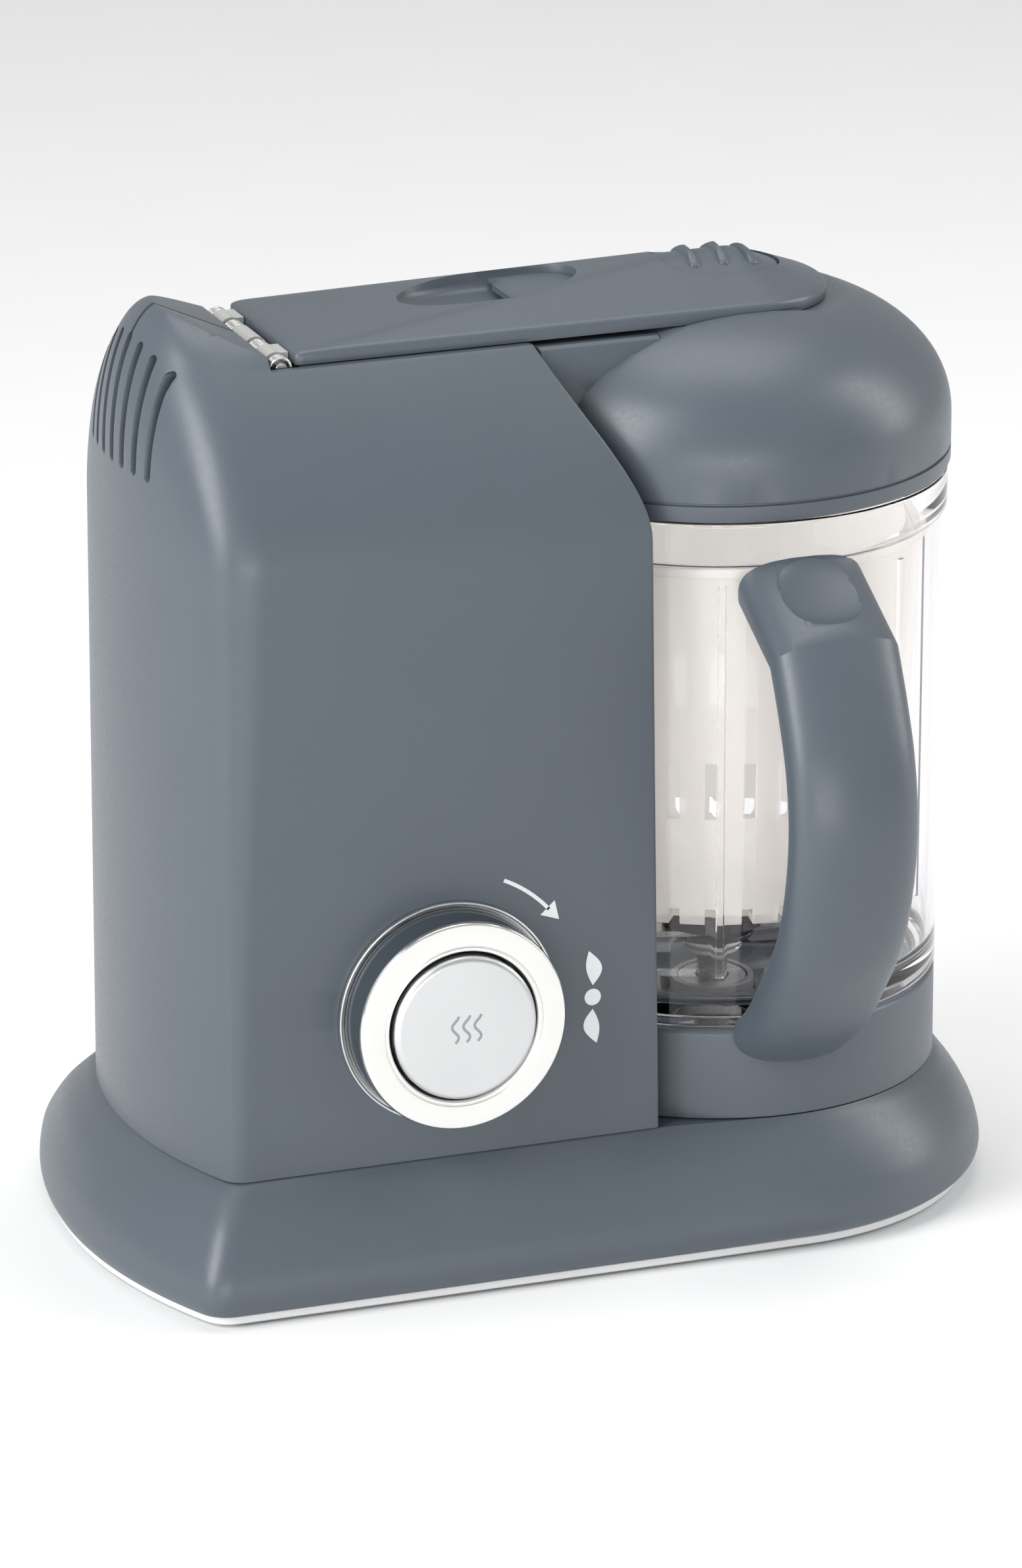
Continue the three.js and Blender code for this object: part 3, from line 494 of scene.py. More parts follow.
FLARE = [
    # height, half depth, right radius, left tip
    (3, 76.1, 75.8, -198.6),
    (5.5, 77.6, 78.6, -199.8),
    (9, 78, 79.5, -200),
    (14, 77.2, 78.8, -199),
    (20, 74.6, 76.8, -196.4),
    (28, 69.6, 72.4, -191.6),
    (DECK_Z, TOWER_HALF, COLLAR_R + 0.2, TIP_X),
]
SWELL_X = -45  # where the straight sides start to swell towards the round end
CREASE_SPREAD = 0.72  # how far the left creases move out with each millimetre of flare


def through(rows, steps):
    """Rows of numbers with smooth in-between rows."""
    out = []
    for i in range(len(rows) - 1):
        p0, p1 = rows[max(0, i - 1)], rows[i]
        p2, p3 = rows[i + 1], rows[min(len(rows) - 1, i + 2)]
        for k in range(steps):
            t = k / steps
            out.append(tuple(
                0.5 * (2 * b + (c - a) * t + (2 * a - 5 * b + 4 * c - d) * t * t
                       + (3 * b - a - 3 * c + d) * t ** 3)
                for a, b, c, d in zip(p0, p1, p2, p3)
            ))
    return out + [tuple(rows[-1])]


def base_ring(row, inset=0.0, z=None):
    height, half, right, tip = row
    w, r = half - inset, right - inset
    shares = [i / 12 for i in range(12)]
    front = [(SWELL_X - SWELL_X * t, -(w + (r - w) * ease(t))) for t in shares]
    angles = [math.pi * (i / 64 - 0.5) for i in range(65)]
    end = [(r * math.cos(a), r * math.sin(a)) for a in angles]
    back = [(x, -y) for x, y in reversed(front)]
    crease = CREASE_X - CREASE_SPREAD * (half - TOWER_HALF) + inset
    ring = front + end + back + left_end(crease, w, tip + inset, 6)
    return [(x, y, height if z is None else z) for x, y in ring]


ceiling = (0, 62.6, 66.4, -185)
shell = [base_ring(ceiling, WALL, DECK_Z - WALL)]
shell += [base_ring(row, WALL) for row in reversed(FLARE[:-1])]
shell += [base_ring(FLARE[0], WALL, 2.9), base_ring(FLARE[0], 0.5, 2.9)]
shell += [base_ring(row) for row in through(FLARE, 5)[:-1]]
shell += [base_ring(FLARE[-1], 0, DECK_Z - 0.5), base_ring(FLARE[-1], 0.5, DECK_Z)]
base = loft("base_body", shell)
motor_way, spindle_way = block(-152, -88, -46, 46, 30, 40), post(0, 0, 20, 30, 40)
cut(base, motor_way, spindle_way, bar(LEAD_X, LEAD_Z, 6.4, 60, 90))
show(base, "root", "body_grey", ["base_skirt"])

plate = loft("base_foot_plate", [
    base_ring(FLARE[0], 1.6, 0), base_ring(FLARE[0], 1, 0.5), base_ring(FLARE[0], 1, 2.4),
    base_ring(FLARE[0], 1.3, 2.7),
])
feet = [(middle(f"foot_{i}") - ORIGIN) / MM for i in range(1, 5)]
screws = [(middle(f"plate_screw_{i}") - ORIGIN) / MM for i in range(1, 5)]
cut(plate, *[post(p.x, p.y, 9.3, -1, 1.2) for p in feet],
    *[post(p.x, p.y, 3.7, -1, 1.5) for p in screws],
    *[post(p.x, p.y, 1.9, -1, 4) for p in screws])
show(plate, "root", "plate_pale", ["base_plate"])

# ----------------------------------------------------------------------- tower

ARCH_REACH, ARCH_RISE = 46.5, 66  # how far the sides lean in, over what height
TIP_START_Z, TIP_RISE, TIP_REACH = 238, 43.5, 16  # the same for the left end
JAR_SIDE_R, JAR_SIDE_GROWTH, JAR_SIDE_START_Z = 73.4, 1.6, 20  # the hollow face by the jar
VENT_PITCH, VENT_HALF = 8, 1.7
VENT_BOTTOM_Z, VENT_TOP_Z = 236, 273  # of the middle slot; the others end lower
SEAM_HALF = 0.8
VALLEY_TOP_Z, END_TOP_Z = 270, 281  # the roof line behind the hinge and at the left end


def tower_half(z):
    """Half depth: upright, then leaning in as an arch, closed by a round crown."""
    climb = max(0, min(z, CROWN_START_Z) - ARCH_START_Z) / ARCH_RISE
    half = TOWER_HALF - ARCH_REACH * climb ** 1.8
    if z > CROWN_START_Z:
        left = (HUMP_TOP_Z - z) / (HUMP_TOP_Z - CROWN_START_Z)
        half *= max(left, 0.0005) ** 0.442
    return half


def tower_tip(z):
    """Left tip: upright, then bending in to the right."""
    climb = min(1, max(0, z - TIP_START_Z) / TIP_RISE)
    return TIP_X + TIP_REACH * (1 - math.sqrt(1 - climb * climb))


def jar_side_r(z):
    """Radius of the hollow face by the jar, which opens a little upwards."""
    climb = max(0, z - JAR_SIDE_START_Z) / (ARCH_START_Z - JAR_SIDE_START_Z)
    return JAR_SIDE_R + JAR_SIDE_GROWTH * min(1, climb)


def tower_ring(z, inset=0.0):
    half = max(0.3, tower_half(z) - inset)
    r = jar_side_r(z) + inset
    edge = min(1.6, half * 0.3)
    lip = (-math.sqrt(r * r - half * half), half)
    near = half - edge
    side = [(-math.sqrt(r * r - y * y), y) for y in (near * (i / 20 - 1) for i in range(41))]
    crease = CREASE_X + inset
    tip = min(crease - 0.4, tower_tip(z) + inset)
    reach = 5 + 7 * ease((z - 60) / 180)
    front = corner((lip[0] - 50, -half), (lip[0], -half), side[0], edge, 5)
    back = corner(side[-1], lip, (lip[0] - 50, half), edge, 5)
    ring = front[:-1] + side + back[1:] + left_end(crease, half, tip, reach)
    return [(x, y, z) for x, y in ring]


def spaced(start, end, steps):
    return [start + (end - start) * i / steps for i in range(steps + 1)]


crown_rise = HUMP_TOP_Z - CROWN_START_Z
crown = [HUMP_TOP_Z - crown_rise * (1 - k / 14) ** 2 for k in range(14)] + [HUMP_TOP_Z - 0.01]
levels = spaced(DECK_Z + GAP, ARCH_START_Z, 12)
levels += spaced(ARCH_START_Z, CROWN_START_Z, 26)[1:-1] + crown


def above_tower(drop, half=90):
    """All that lies over the tower's roof line, or over one that lies lower by the drop."""
    return prism_xz([
        (0, TOWER_TOP_Z - drop), (VALLEY_X, TOWER_TOP_Z - drop), (VALLEY_X, VALLEY_TOP_Z - drop),
        (CREASE_X - 1, END_TOP_Z - drop), (-220, END_TOP_Z - drop + 0.5), (-220, 320), (0, 320),
    ], -half, half)


tower = loft("tower_shell", [tower_ring(z) for z in levels])
hollow = loft("tool", [tower_ring(z, WALL) for z in [20] + levels[1:-3]])
cut(hollow, above_tower(2.8, 95), block(
    VALLEY_X - 2, TROUGH_RIGHT_X + 2, -TROUGH_HALF - 2, TROUGH_HALF + 2, TROUGH_FLOOR_Z - 2, 300))
slots = []
for i in range(-3, 4):
    top = VENT_TOP_Z - 0.75 * abs(i) ** 1.8
    outline = []
    for k in range(24):
        a = TAU * k / 24
        end_z = VENT_BOTTOM_Z + VENT_HALF if k >= 12 else top - VENT_HALF
        outline.append((i * VENT_PITCH + VENT_HALF * math.cos(a), end_z + VENT_HALF * math.sin(a)))
    slots.append(loft("tool", [[(x, y, z) for y, z in outline] for x in (-195, -172)]))
seam = prism_xz([(-200, 255), (-180.8, 255), (-176.5, 268), (-171, 278), (VALLEY_X, 268.2),
                 (VALLEY_X, 300), (-200, 300)], -SEAM_HALF, SEAM_HALF)
cut(tower, above_tower(0))
trough = block(VALLEY_X, TROUGH_RIGHT_X, -TROUGH_HALF, TROUGH_HALF, TROUGH_FLOOR_Z, 280)
cut(tower, hollow, trough, post(BOILER_X, 0, TANK_MOUTH_R, 255, 275),
    block(*TONGUE_X, TONGUE_Y - 2.5, TONGUE_Y + 2.5, 255, 275), seam,
    bar(KNOB_X, KNOB_Z, 4.2, -70, -50), *slots)
soften(tower, 0.5, 3, 40)
show(tower, "root", "body_grey", ["tower_casing"], crease=30)

# ---------------------------------------------------------- collar, jar, basket

collar = turned("jar_seat_collar", rounded([
    (14, 42), (61, 42), (61, DECK_Z + GAP), (COLLAR_R, DECK_Z + GAP, 0.5),
    (COLLAR_R, COLLAR_TOP_Z, 1.4), (61.2, COLLAR_TOP_Z, 0.8), (61.2, 45), (14, 45),
], 0.4), FINE)
show(collar, "root", "body_grey", ["jar_collar"])

inner_r = JAR_R - JAR_WALL
jar = turned("jar_clear_body", rounded([
    (8.6, 66), (53, 66, 1), (56.5, 48, 0.8), (60.4, 48, 1), (60.4, COLLAR_TOP_Z + GAP, 0.4),
    (JAR_R - 0.1, COLLAR_TOP_Z + 1.3, 1.2), (JAR_R, FLANGE_Z - 1.2, 0.6), (FLANGE_R, FLANGE_Z, 0.6),
    (FLANGE_R, JAR_TOP_Z, 1), (63.8, JAR_TOP_Z, 1), (inner_r, FLANGE_Z - 2, 1),
    (inner_r, JAR_FLOOR_Z + 4, 2), (inner_r - 4, JAR_FLOOR_Z, 2), (8.6, JAR_FLOOR_Z),
], 0.3), FINE)
ribs = []
for angle in (200, 250, 305, 350, 40, 90, 140):
    a = math.radians(angle)
    ring = []
    for out, turn in ((0.6, -0.022), (0.6, 0.022), (-1.1, 0.014), (-1.1, -0.014)):
        r = inner_r + out
        ring.append((r * math.cos(a + turn), r * math.sin(a + turn)))
    ribs.append(loft("tool", [[(x, y, z) for x, y in ring] for z in (80, 198)]))
joined(jar, *ribs)
show(jar, "jar", "jar_clear", ["jar_body"], crease=30)

basket = turned("basket_cup", rounded([
    (0, BASKET_FLOOR_Z), (54, BASKET_FLOOR_Z, 1.2), (59.5, BASKET_TOP_Z - 3, 0.6),
    (61.6, BASKET_TOP_Z - 3, 0.6), (61.6, BASKET_TOP_Z, 0.8), (57.6, BASKET_TOP_Z, 0.8),
    (52.2, BASKET_FLOOR_Z + 2, 1.5), (0, BASKET_FLOOR_Z + 2),
], 0.3, False), FINE)


def turned_block(angle, x0, x1, half, z0, z1):
    ring = [(x0, -half), (x1, -half), (x1, half), (x0, half)]
    c, s = math.cos(angle), math.sin(angle)
    return loft("tool", [[(x * c - y * s, x * s + y * c, z) for x, y in ring] for z in (z0, z1)])


def slots_around(count, *sizes):
    return [turned_block(TAU * i / count, *sizes) for i in range(count)]


# slots round the foot, a row higher up, and eight in the floor
below = BASKET_FLOOR_Z - 1
cut(basket, *slots_around(BASKET_SLOTS, 46, 62, 1.7, below, BASKET_FLOOR_Z + 5),
    *slots_around(BASKET_SLOTS, 46, 64, 1.9, 126, 143),
    *slots_around(8, 16, 40, 1.6, below, BASKET_FLOOR_Z + 3))
soften(basket, 0.35, 2)
show(basket, "jar", "basket_milky", ["steam_basket"])

# ---------------------------------------------------------------------- handle

HANDLE_NECK = [(-59.6 - 3.28 * i, 202.7 - 1.69 * i) for i in range(10)]
HANDLE_BELLY = [
    (-92.4, 185.8), (-99.5, 172), (-105.8, 156), (-108.48, 138), (-106, 118), (-99.5, 100),
    (-88.5, 84.5), (-76, 70), (-64, 61),
]
GRIP_HALF, GRIP_WIDEST, GRIP_BACK, GRIP_CREST = 19, -2, -6.8, 7.5
CHANNEL_HALF, CHANNEL_FLOOR = 15.2, -2.6  # the hollow back, where the clear core lies
THUMB_REST = ((0, -80.4, 200.9), 0.476, (15.5, 13.5, 2.9))  # place, tilt, half sizes


def handle_sweep(name, section, beyond=0):
    """A bar along the handle's bent line; the section is (x, distance outside the line)."""
    belly = through(HANDLE_BELLY, 8)  # the first steps would fold inside the bend
    line = [Vector(p) for p in HANDLE_NECK + belly[:1] + belly[3:]]
    line[0] += (line[0] - line[1]).normalized() * beyond
    line[-1] += (line[-1] - line[-2]).normalized() * beyond
    last = len(line) - 1
    rings = []
    for i, p in enumerate(line):
        before = (line[max(1, i)] - line[max(0, i - 1)]).normalized()
        after = (line[min(i + 1, last)] - line[min(i, last - 1)]).normalized()
        along = before + after
        outwards = Vector((along.y, -along.x)) * (2 / along.length) ** 2 / 2
        rings.append([(x, *(p + outwards * out)) for x, out in section])
    return loft(name, rings)


def crowned_section(steps=80):
    """Flat towards the jar with rounded corners, crowned on the outside."""
    section = []
    for k in range(steps):
        c, s = math.cos(TAU * k / steps), math.sin(TAU * k / steps)
        if s > 0:
            power, depth = 0.9, GRIP_CREST - GRIP_WIDEST
        else:
            power, depth = 0.35, GRIP_WIDEST - GRIP_BACK
        x = GRIP_HALF * math.copysign(abs(c) ** power, c)
        section.append((x, GRIP_WIDEST + depth * math.copysign(abs(s) ** power, s)))
    return section


def ellipsoid(place, tilt, size, steps=28):
    """A closed ellipsoid, tilted about x."""
    c, s = math.cos(tilt), math.sin(tilt)
    rings = []
    for i in range(1, steps):
        a = math.pi * i / steps
        ring = []
        for k in range(72):
            b = TAU * k / 72
            x, y = size[0] * math.sin(a) * math.cos(b), size[1] * math.sin(a) * math.sin(b)
            z = -size[2] * math.cos(a)
            ring.append((place[0] + x, place[1] + y * c - z * s, place[2] + y * s + z * c))
        rings.append(ring)
    return loft("tool", rings)


grip = handle_sweep("handle_grip", crowned_section())
channel = [(-CHANNEL_HALF, -9), (CHANNEL_HALF, -9),
           (CHANNEL_HALF, CHANNEL_FLOOR), (-CHANNEL_HALF, CHANNEL_FLOOR)]
cut(grip, handle_sweep("tool", channel, 3), ellipsoid(*THUMB_REST),
    post(0, 0, FLANGE_R + 0.4, 30, 260))
soften(grip, 0.9, 4, 20)
show(grip, "jar", "body_grey", ["jar_handle"])

spine_half = CHANNEL_HALF - GAP
spine = handle_sweep("handle_clear_back", rounded([
    (-spine_half, -7.4), (spine_half, -7.4),
    (spine_half, CHANNEL_FLOOR - GAP), (-spine_half, CHANNEL_FLOOR - GAP),
], 1.2))
cut(spine, post(0, 0, JAR_R + 0.1, 30, 260), post(0, 0, 80, 40, COLLAR_TOP_Z + 1.2))
show(spine, "jar", "jar_clear")

# ------------------------------------------------------------------------- lid


def dome_points(inset, steps=26):
    """A quarter of a squarish round, from the skirt up to the crown."""
    rise = DOME_TOP_Z - inset - DOME_STRAIGHT_Z
    points = []
    for i in range(steps + 1):
        a = math.pi / 2 * i / steps
        r = 0 if i == steps else (DOME_R - inset) * math.cos(a) ** 0.86
        points.append((r, DOME_STRAIGHT_Z + rise * math.sin(a) ** 0.93))
    return points


dome = turned("dome", [
    (0, DOME_BOTTOM_Z), (DOME_R - 1.4, DOME_BOTTOM_Z), (DOME_R - 0.4, DOME_BOTTOM_Z + 0.4),
    (DOME_R, DOME_BOTTOM_Z + 1.4),
    (DOME_R, 222.9), (DOME_R - 0.7, 223.2), (DOME_R - 0.7, 223.7), (DOME_R, 224),
    *dome_points(0),
], FINE)


def jar_room(inset):
    """The round room over the jar, within the tower's hollow face."""
    r = jar_side_r(ARCH_START_Z) - inset
    return turned("tool", [(0, 20), (r, 20), (r, 300), (0, 300)], FINE)


def neck_ring(z, half):
    corners = [(-90, -half), (-30, -half), (-30, half), (-90, half)]
    return [(x, y, z) for x, y in rounded(corners, 0.5)]


neck = loft("tool", [neck_ring(z, NECK_HALF - inset) for z, inset in (
    (NECK_BOTTOM_Z, 0), (NECK_TOP_Z - 3, 0), (NECK_TOP_Z - 0.8, 0.6), (NECK_TOP_Z, 1.6))])
combined(neck, "INTERSECT", [jar_room(1.6)])
joined(dome, neck)
under = turned("tool", [(0, 213), (DOME_R - WALL, 213), *dome_points(WALL)], 120)
room_half = NECK_HALF - WALL  # the neck's wall is kept whole
neck_room = block(-66, -20, -room_half, room_half, NECK_BOTTOM_Z + WALL, NECK_TOP_Z - WALL)
combined(neck_room, "INTERSECT", [jar_room(1.6 + WALL)])
joined(under, neck_room)
cut(under, block(-90, 90, -30, 30, ARM_Z - 3.2, 300))
arm_seat = block(-90, 60, -ARM_HALF - 0.4, ARM_HALF + 0.4, ARM_Z - 0.4, 300)
cut(dome, under, arm_seat, post(STEAM_OUT_X, 0, 6.4, 250, 275))
soften(dome, 0.5, 3, 35)
show(dome, "lid", "body_grey", ["dome_lid"], crease=32)

# ------------------------------------------------------------------------- arm


def arm_roof(x, y):
    """Height of the arm's top: falling to its sides and towards the hinge."""
    from_middle = math.hypot(max(0, x - ARM_TIP_X + ARM_HALF), y)
    side = ARM_SIDE_Z + ARM_SIDE_SLOPE * (ARM_HALF - from_middle)
    top = ARM_SIDE_Z + 0.2 + ARM_TOP_SLOPE * (x - ARM_LEFT_X)
    ridge = ARM_SIDE_Z + ARM_SIDE_SLOPE * ARM_HALF - 0.3
    return soft_least(soft_least(side, top, 0.9), ridge, 0.5)


def stadium(inset, steps=44):
    half = ARM_HALF - inset
    left = ARM_LEFT_X + inset
    corners = corner((left + 9, half), (left, half), (left, 0), 2.4, 5)
    corners += corner((left, 0), (left, -half), (left + 9, -half), 2.4, 5)
    straight = [left + (ARM_TIP_X - ARM_HALF - left) * i / 30 for i in range(2, 30)]
    angles = [math.pi * (i / steps - 0.5) for i in range(steps + 1)]
    tip = [(ARM_TIP_X - ARM_HALF + half * math.cos(a), half * math.sin(a)) for a in angles]
    return corners + [(x, -half) for x in straight] + tip + [(x, half) for x in reversed(straight)]


def slab(name, outline, z0, roof, edge, rings):
    """A piece over an outline, with a rounded rim, whose top follows the roof."""
    cx = sum(p[0] for p in outline) / len(outline)
    cy = sum(p[1] for p in outline) / len(outline)
    reach = min(max(abs(y - cy) for x, y in outline), max(abs(x - cx) for x, y in outline))

    def scaled(share, drop):
        ring = [(cx + (x - cx) * share, cy + (y - cy) * share) for x, y in outline]
        return [(x, y, roof(x, y) - drop) for x, y in ring]

    layers = [[(x, y, z0) for x, y in outline], scaled(1, edge)]
    for k in range(1, 5):
        a = math.pi / 2 * k / 4
        layers.append(scaled(1 - edge * (1 - math.cos(a)) / reach, edge * (1 - math.sin(a))))
    start = 1 - edge / reach
    layers += [scaled(start * (1 - k / rings), 0) for k in range(1, rings)] + [scaled(0.01, 0)]
    return loft(name, layers)


def oval(x, rx, ry, steps=72):
    angles = [TAU * i / steps for i in range(steps)]
    return [(x + rx * math.cos(a), ry * math.sin(a)) for a in angles]


def oval_post(x, rx, ry, z0, z1):
    return loft("tool", [[(px, py, z) for px, py in oval(x, rx, ry)] for z in (z0, z1)])


def bowl(x, rx, ry, floor):
    """The finger recess: steep at the rim, round at the bottom."""
    shape = [(300, 1), (276, 1), (floor + 2.6, 0.985), (floor + 1.4, 0.95),
             (floor + 0.5, 0.88), (floor, 0.78)]
    return loft("tool", [[(px, py, z) for px, py in oval(x, rx * s, ry * s)] for z, s in shape])


cover = slab("arm_top", stadium(0), ARM_Z, arm_roof, 1.0, 40)
pocket = slab("tool", stadium(2.2), COVER_Z - 5, lambda x, y: arm_roof(x, y) - 2, 0.3, 20)
cut(pocket, oval_post(RECESS[0], RECESS[1] + 1.4, RECESS[2] + 1.4, RECESS[3] - 1.1, 300))
cut(cover, pocket, bowl(*RECESS), oval_post(BUTTON[0], BUTTON[1] + 0.4, BUTTON[2] + 0.4, 200, 300))
soften(cover, 0.35, 2, 42)
show(cover, "lid", "body_grey", ["arm_cover"], crease=34)

tray = slab("arm_under", stadium(2.5), ARM_Z, lambda x, y: ARM_Z + TRAY, 0.3, 3)
cut(tray, block(*TONGUE_X, TONGUE_Y - 2.3, TONGUE_Y + 2.3, 260, 280),
    post(STEAM_IN_X, 0, 7, 260, 280), post(STEAM_OUT_X, 0, 5, 260, 280))
show(tray, "lid", "body_grey", ["arm_tray"])

plate_edge = [p for p in oval(RECESS[0], RECESS[1] - 0.6, RECESS[2] - 0.6, 120) if p[0] > -66]
plate_edge = sorted(plate_edge, key=lambda p: math.atan2(p[1], p[0] + 66.5))
lever = slab("lever_plate", plate_edge, LEVER_Z, lambda x, y: arm_roof(x, y) - 2.2, 0.5, 8)
tab_edge = [(-66.2, -8), (-63.6, -8), (-63.6, 8), (-66.2, 8)]
tab = slab("tool", tab_edge, LEVER_Z - 1, lambda x, y: LEVER_Z + 1, 0.4, 3)
joined(lever, tab)
show(lever, "lever", "body_grey", ["latch_lever"])

cap = slab("button_cap", oval(BUTTON[0], BUTTON[1], BUTTON[2]), BUTTON[3],
           lambda x, y: arm_roof(x, y) - 0.7, 0.5, 16)
RIB_PITCH, RIB_REACH, RIB_R, RIB_RISE = 9, 9, 1.5, 0.9  # of the button's three ribs


def rib_roof(x, y):
    return arm_roof(x, y) + RIB_RISE - 0.006 * y * y


rib_tools = []
for dx in (-RIB_PITCH, 0, RIB_PITCH):
    x = BUTTON[0] + dx
    rib = []
    for k in range(24):
        a = TAU * (k + 0.5) / 24
        c, s = math.cos(a), math.sin(a)
        rib.append((x + RIB_R * c, (RIB_REACH - RIB_R) * math.copysign(1, s) + RIB_R * s))
    rib_tools.append(slab("tool", rib, 276, rib_roof, RIB_RISE, 6))
joined(cap, *rib_tools)
show(cap, "button", "body_grey", ["release_button"])

# --------------------------------------------------------------------- springs

HINGE_COILS = ((-14, -7, 5), (7, 14, 5), (-28.6, -24, 3), (24, 28.6, 3))  # ends, turns
COIL_STEPS, WIRE_SIDES = 18, 8


def coil(name, centre, r, wire, start, end, turns, upright=False):
    """A wound spring along y, or upright along z, about a centre (x, z) or (x, y)."""
    points, faces = [], []
    steps, sides = turns * COIL_STEPS, WIRE_SIDES
    for i in range(steps + 1):
        a = TAU * i / COIL_STEPS
        along = start + wire + (end - start - 2 * wire) * i / steps
        for k in range(sides):
            b = TAU * k / sides
            ring_r = r - wire + wire * math.cos(b)
            h = along + wire * math.sin(b)
            p, q = centre[0] + ring_r * math.cos(a), centre[1] + ring_r * math.sin(a)
            points.append((p, q, h) if upright else (p, h, q))
    for i in range(steps):
        for k in range(sides):
            j = (k + 1) % sides
            faces.append((i * sides + k, i * sides + j, (i + 1) * sides + j, (i + 1) * sides + k))
    faces.append(tuple(range(sides)))
    faces.append(tuple(range(steps * sides, (steps + 1) * sides)))
    return mesh_object(name, points, faces)


for i, ends_and_turns in enumerate(HINGE_COILS, 1):
    spring = coil(f"hinge_coil_{i}", (HINGE_X, HINGE_Z), HINGE_R - 0.2, 0.45, *ends_and_turns)
    show(spring, "root", "steel", [f"hinge_spring_{i}"], crease=80)

spring_top = BUTTON[3] - GAP
spring = coil("button_coil", (BUTTON[0], 0), 5, 0.35, COVER_Z, spring_top, 3, True)
show(spring, "lid", "steel", ["button_spring"], crease=80,
     pressed_by=("button", (BUTTON[0], 0, COVER_Z), (BUTTON[0], 0, spring_top)))
fixed_y, far_y = KNOB_FLOOR - GAP, KNOB_BUTTON_BACK + GAP
spring = coil("steam_button_coil", (KNOB_X, KNOB_Z), 7.6, 0.25, far_y, fixed_y, 3)
show(spring, "knob", "steel", ["steam_button_spring"], crease=80,
     pressed_by=("knob_button", (KNOB_X, fixed_y, KNOB_Z), (KNOB_X, far_y, KNOB_Z)))

# ------------------------------------------------------------------------ knob


def on_knob(name, profile, radius, closed=True):
    return turned(name, rounded(profile, radius, closed), FINE, (KNOB_X, KNOB_Z), False)


show(on_knob("knob_trim", [
    (26, FACE_Y - GAP), (33, FACE_Y - GAP), (33, FACE_Y - 1.8, 0.3), (32.2, FACE_Y - 1.8, 0.3),
    (32.2, FACE_Y - 1.2), (26, FACE_Y - 1.2),
], 0.1), "root", "chrome", ["knob_bezel"], FINISH["button_silver"])
knob_wall = on_knob("knob_wall", [
    (4, FACE_Y - 1.6), (31.5, FACE_Y - 1.6, 0.3), (30.5, KNOB_FRONT + 2.1), (22, KNOB_FRONT + 2.1),
    (22, KNOB_FLOOR), (4, KNOB_FLOOR),
], 0.1)
show(knob_wall, "knob", "chrome", ["knob_ring"], KNOB_SIDE)
show(on_knob("knob_face_ring", [
    (22.1, KNOB_FRONT + 2), (30.4, KNOB_FRONT + 2), (31.2, KNOB_FRONT + 1.4, 0.4),
    (30.6, KNOB_FRONT, 0.5),
    (24.1, KNOB_FRONT), (24, KNOB_FRONT + 0.35), (23.7, KNOB_FRONT + 0.35), (23.6, KNOB_FRONT),
    (22.6, KNOB_FRONT, 0.4), (22.1, KNOB_FRONT + 1, 0.3),
], 0.1), "knob", "chrome", material=FINISH["chrome"])
show(on_knob("knob_button", [
    (0, KNOB_BUTTON_BACK), (21.4, KNOB_BUTTON_BACK), (21.4, KNOB_FRONT - 1, 0.5),
    (20.4, KNOB_FRONT - 2, 0.8), (0, KNOB_FRONT - 2),
], 0.4, False), "knob_button", "button_silver", ["steam_button"])

# ------------------------------------------------------------- printed symbols


def decal(name, strips, y, body, material, slot, thick=0.12):
    """Flat marks a hair proud of a surface that faces -y, from outlines of (x, z)."""
    points, faces = [], []
    for strip in strips:
        n, first = len(strip), len(points)
        points += [(x, y, z) for x, z in strip] + [(x, y - thick, z) for x, z in strip]
        faces.append(tuple(first + i for i in range(n)))
        faces.append(tuple(first + n + i for i in reversed(range(n))))
        for i in range(n):
            j = (i + 1) % n
            faces.append((first + i, first + j, first + n + j, first + n + i))
    show(mesh_object(name, points, faces), body, slot, (), material)


def stroke(line, half):
    """An outline round a line of points, with the given half width."""
    left, right = [], []
    for i, p in enumerate(line):
        a, b = Vector(line[max(0, i - 1)]), Vector(line[min(len(line) - 1, i + 1)])
        side = (b - a).normalized().orthogonal() * half
        left.append(tuple(Vector(p) + side))
        right.append(tuple(Vector(p) - side))
    return left + right[::-1]


ARROW_R, ARROW_START, ARROW_TURN = 41, 65, 24  # the curved arrow round the knob, in degrees
angles = [math.radians(ARROW_START - ARROW_TURN * k / 12) for k in range(13)]
sweep = [(KNOB_X + ARROW_R * math.cos(a), KNOB_Z + ARROW_R * math.sin(a)) for a in angles]
point = Vector(sweep[-1])
ahead = (point - Vector(sweep[-2])).normalized()
aside = ahead.orthogonal()
head = [tuple(point + ahead * 4.6), tuple(point + aside * 2.9 - ahead * 0.6),
        tuple(point - aside * 2.9 - ahead * 0.6)]


def leaf_side(bulge, shares):
    return [Vector((bulge * math.sin(math.pi * t) - 1.2 * t, 3.6 + 10.5 * t)) for t in shares]


# two leaves and a dot: a plain sign for the blade
hub = Vector((-61.6, 80))
leaf = leaf_side(3.4, [k / 16 for k in range(17)])
leaf += leaf_side(-1.4, [1 - k / 16 for k in range(1, 16)])
dot = [hub + 2.5 * Vector((math.cos(TAU * k / 28), math.sin(TAU * k / 28))) for k in range(28)]
mark = [[tuple(hub + p) for p in leaf], [tuple(hub - p) for p in leaf], [tuple(p) for p in dot]]
decal("turn_arrow", [stroke(sweep, 0.55), head], FACE_Y, "root", PRINT, "plate_pale")
decal("blade_mark", mark, FACE_Y, "root", PRINT, "plate_pale")
waves = []
for dx in (-3.4, 0, 3.4):
    line = [(KNOB_X + dx + math.sin(TAU * k / 16), KNOB_Z - 4 + 8 * k / 20) for k in range(21)]
    waves.append(stroke(line, 0.4))
decal("steam_mark", waves, KNOB_FRONT - 2, "knob_button", ENGRAVED, "button_silver", 0.06)

# ------------------------------------------------------- CAD nodes that still show

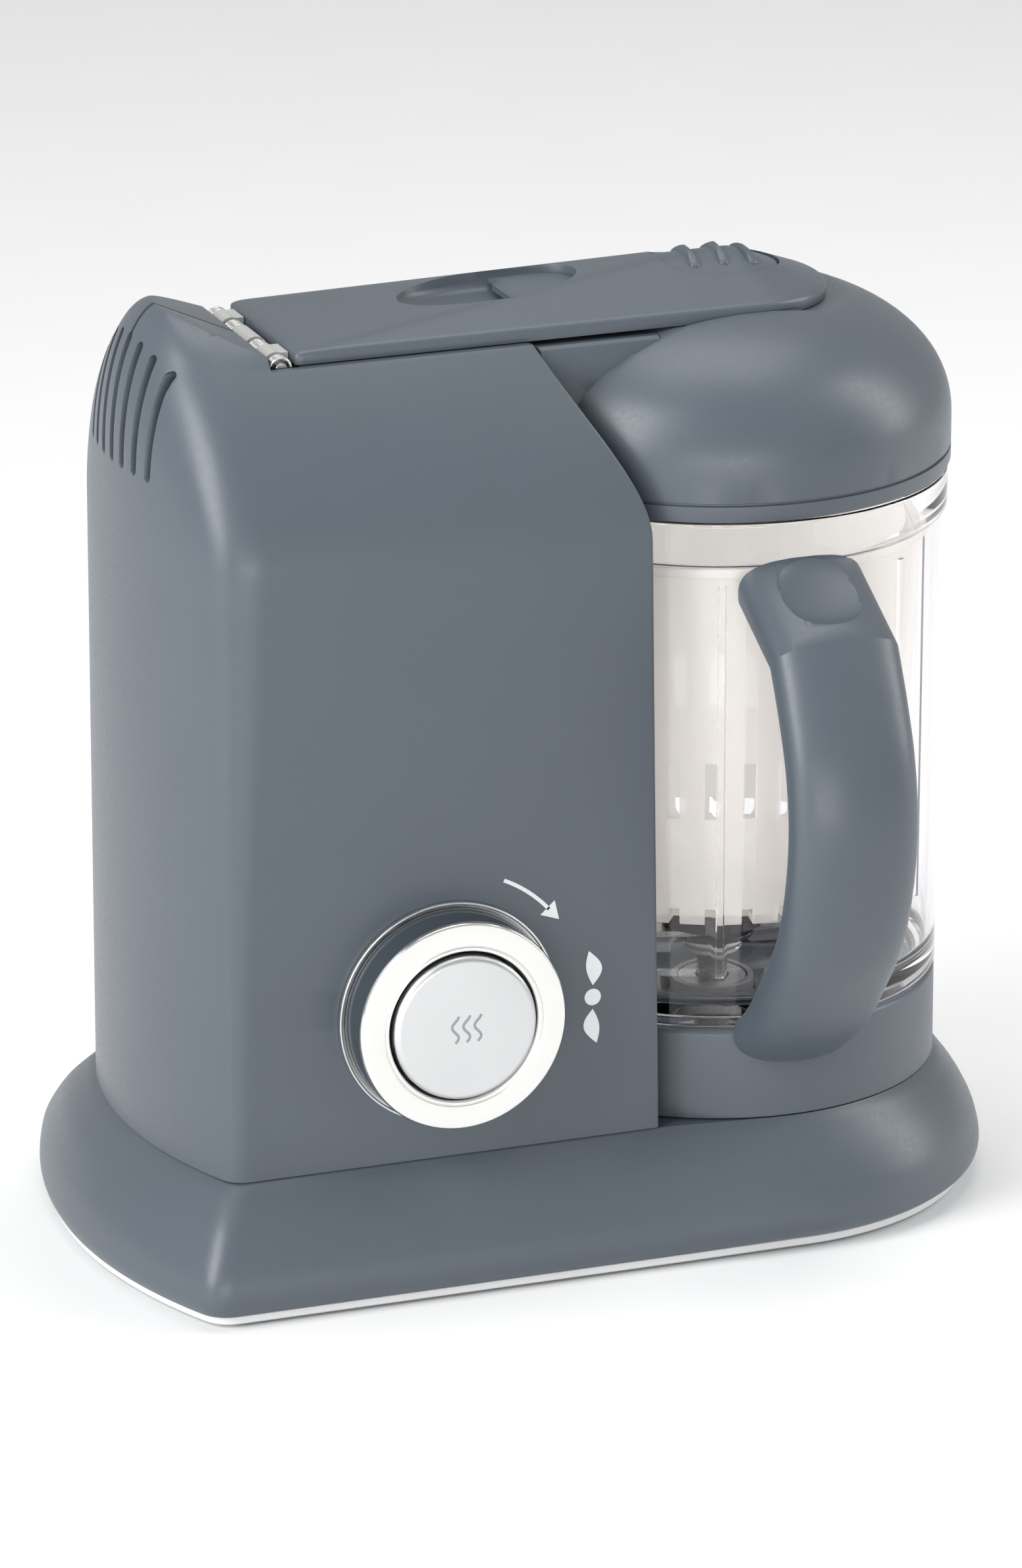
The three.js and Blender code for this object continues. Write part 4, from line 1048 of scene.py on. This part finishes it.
shown_slots = {row["node"]: row["material_slot"] for row in frame["record"]["subparts"]}
for name, node in frame["nodes"].items():
    if node.hide_render:
        continue
    node.data.materials.clear()
    node.data.materials.append(FINISH[shown_slots[name]])
    weld = node.modifiers.new("weld", "WELD")
    weld.merge_threshold = 0.00001
    edges = node.modifiers.new("edges", "BEVEL")
    edges.width, edges.segments = 0.0002, 2
    edges.limit_method, edges.angle_limit = "ANGLE", math.radians(35)

# ---------------------------------------------------------------- floor, light

floor_mesh = bpy.data.meshes.new("floor")
floor_mesh.from_pydata([(-9, -9, 0), (9, -9, 0), (9, 9, 0), (-9, 9, 0)], [], [(0, 1, 2, 3)])
floor = bpy.data.objects.new("floor", floor_mesh)
bpy.context.scene.collection.objects.link(floor)
floor_mesh.materials.append(
    surface("floor", (0.86, 0.86, 0.86), (0.55, 0.65), 60, 0.00002, vary=0.005))

world = bpy.data.worlds.new("studio")
bpy.context.scene.world = world
world.use_nodes = True
world.node_tree.nodes["Background"].inputs["Color"].default_value = (1, 1, 1, 1)
world.node_tree.nodes["Background"].inputs["Strength"].default_value = 0.53

aim = (cad_bounds[0] + cad_bounds[1]) / 2


def softbox(name, place, size, power):
    light = bpy.data.lights.new(name, "AREA")
    light.shape, light.size, light.size_y = "RECTANGLE", size[0], size[1]
    light.energy = power
    obj = bpy.data.objects.new(name, light)
    obj.location = aim + Vector(place)
    obj.rotation_euler = (-Vector(place)).to_track_quat("-Z", "Y").to_euler()
    bpy.context.scene.collection.objects.link(obj)


softbox("key_left", (-1.6, -0.55, 0.9), (0.9, 1.6), 38)
softbox("overhead", (0.1, 0.3, 1.9), (1.4, 1.2), 15)
softbox("strip_right", (1.5, -0.35, 0.75), (0.45, 1.5), 14)
softbox("front_fill", (-0.5, -1.9, 0.0), (1.4, 0.24), 9)

# ---------------------------------------------------------------------- camera

CAMERA_AZIMUTH = math.radians(20.62)  # to the left of the front
CAMERA_PITCH = math.radians(18.75)  # downwards
CAMERA_DISTANCE = 2.6748
AIM_FROM_MIDDLE = Vector((-0.0099, 0.0004, -0.0091))
LENS = 212.96

look = Vector((
    math.sin(CAMERA_AZIMUTH) * math.cos(CAMERA_PITCH),
    math.cos(CAMERA_AZIMUTH) * math.cos(CAMERA_PITCH),
    -math.sin(CAMERA_PITCH),
))
camera_data = bpy.data.cameras.new("camera")
camera_data.lens = LENS
camera_data.sensor_width = 36
camera_data.clip_end = 50
camera = bpy.data.objects.new("camera", camera_data)
camera.location = aim + AIM_FROM_MIDDLE - look * CAMERA_DISTANCE
camera.rotation_euler = look.to_track_quat("-Z", "Y").to_euler()
bpy.context.scene.collection.objects.link(camera)
bpy.context.scene.camera = camera
bpy.context.scene.view_settings.view_transform = "Standard"

bpy.context.view_layer.update()
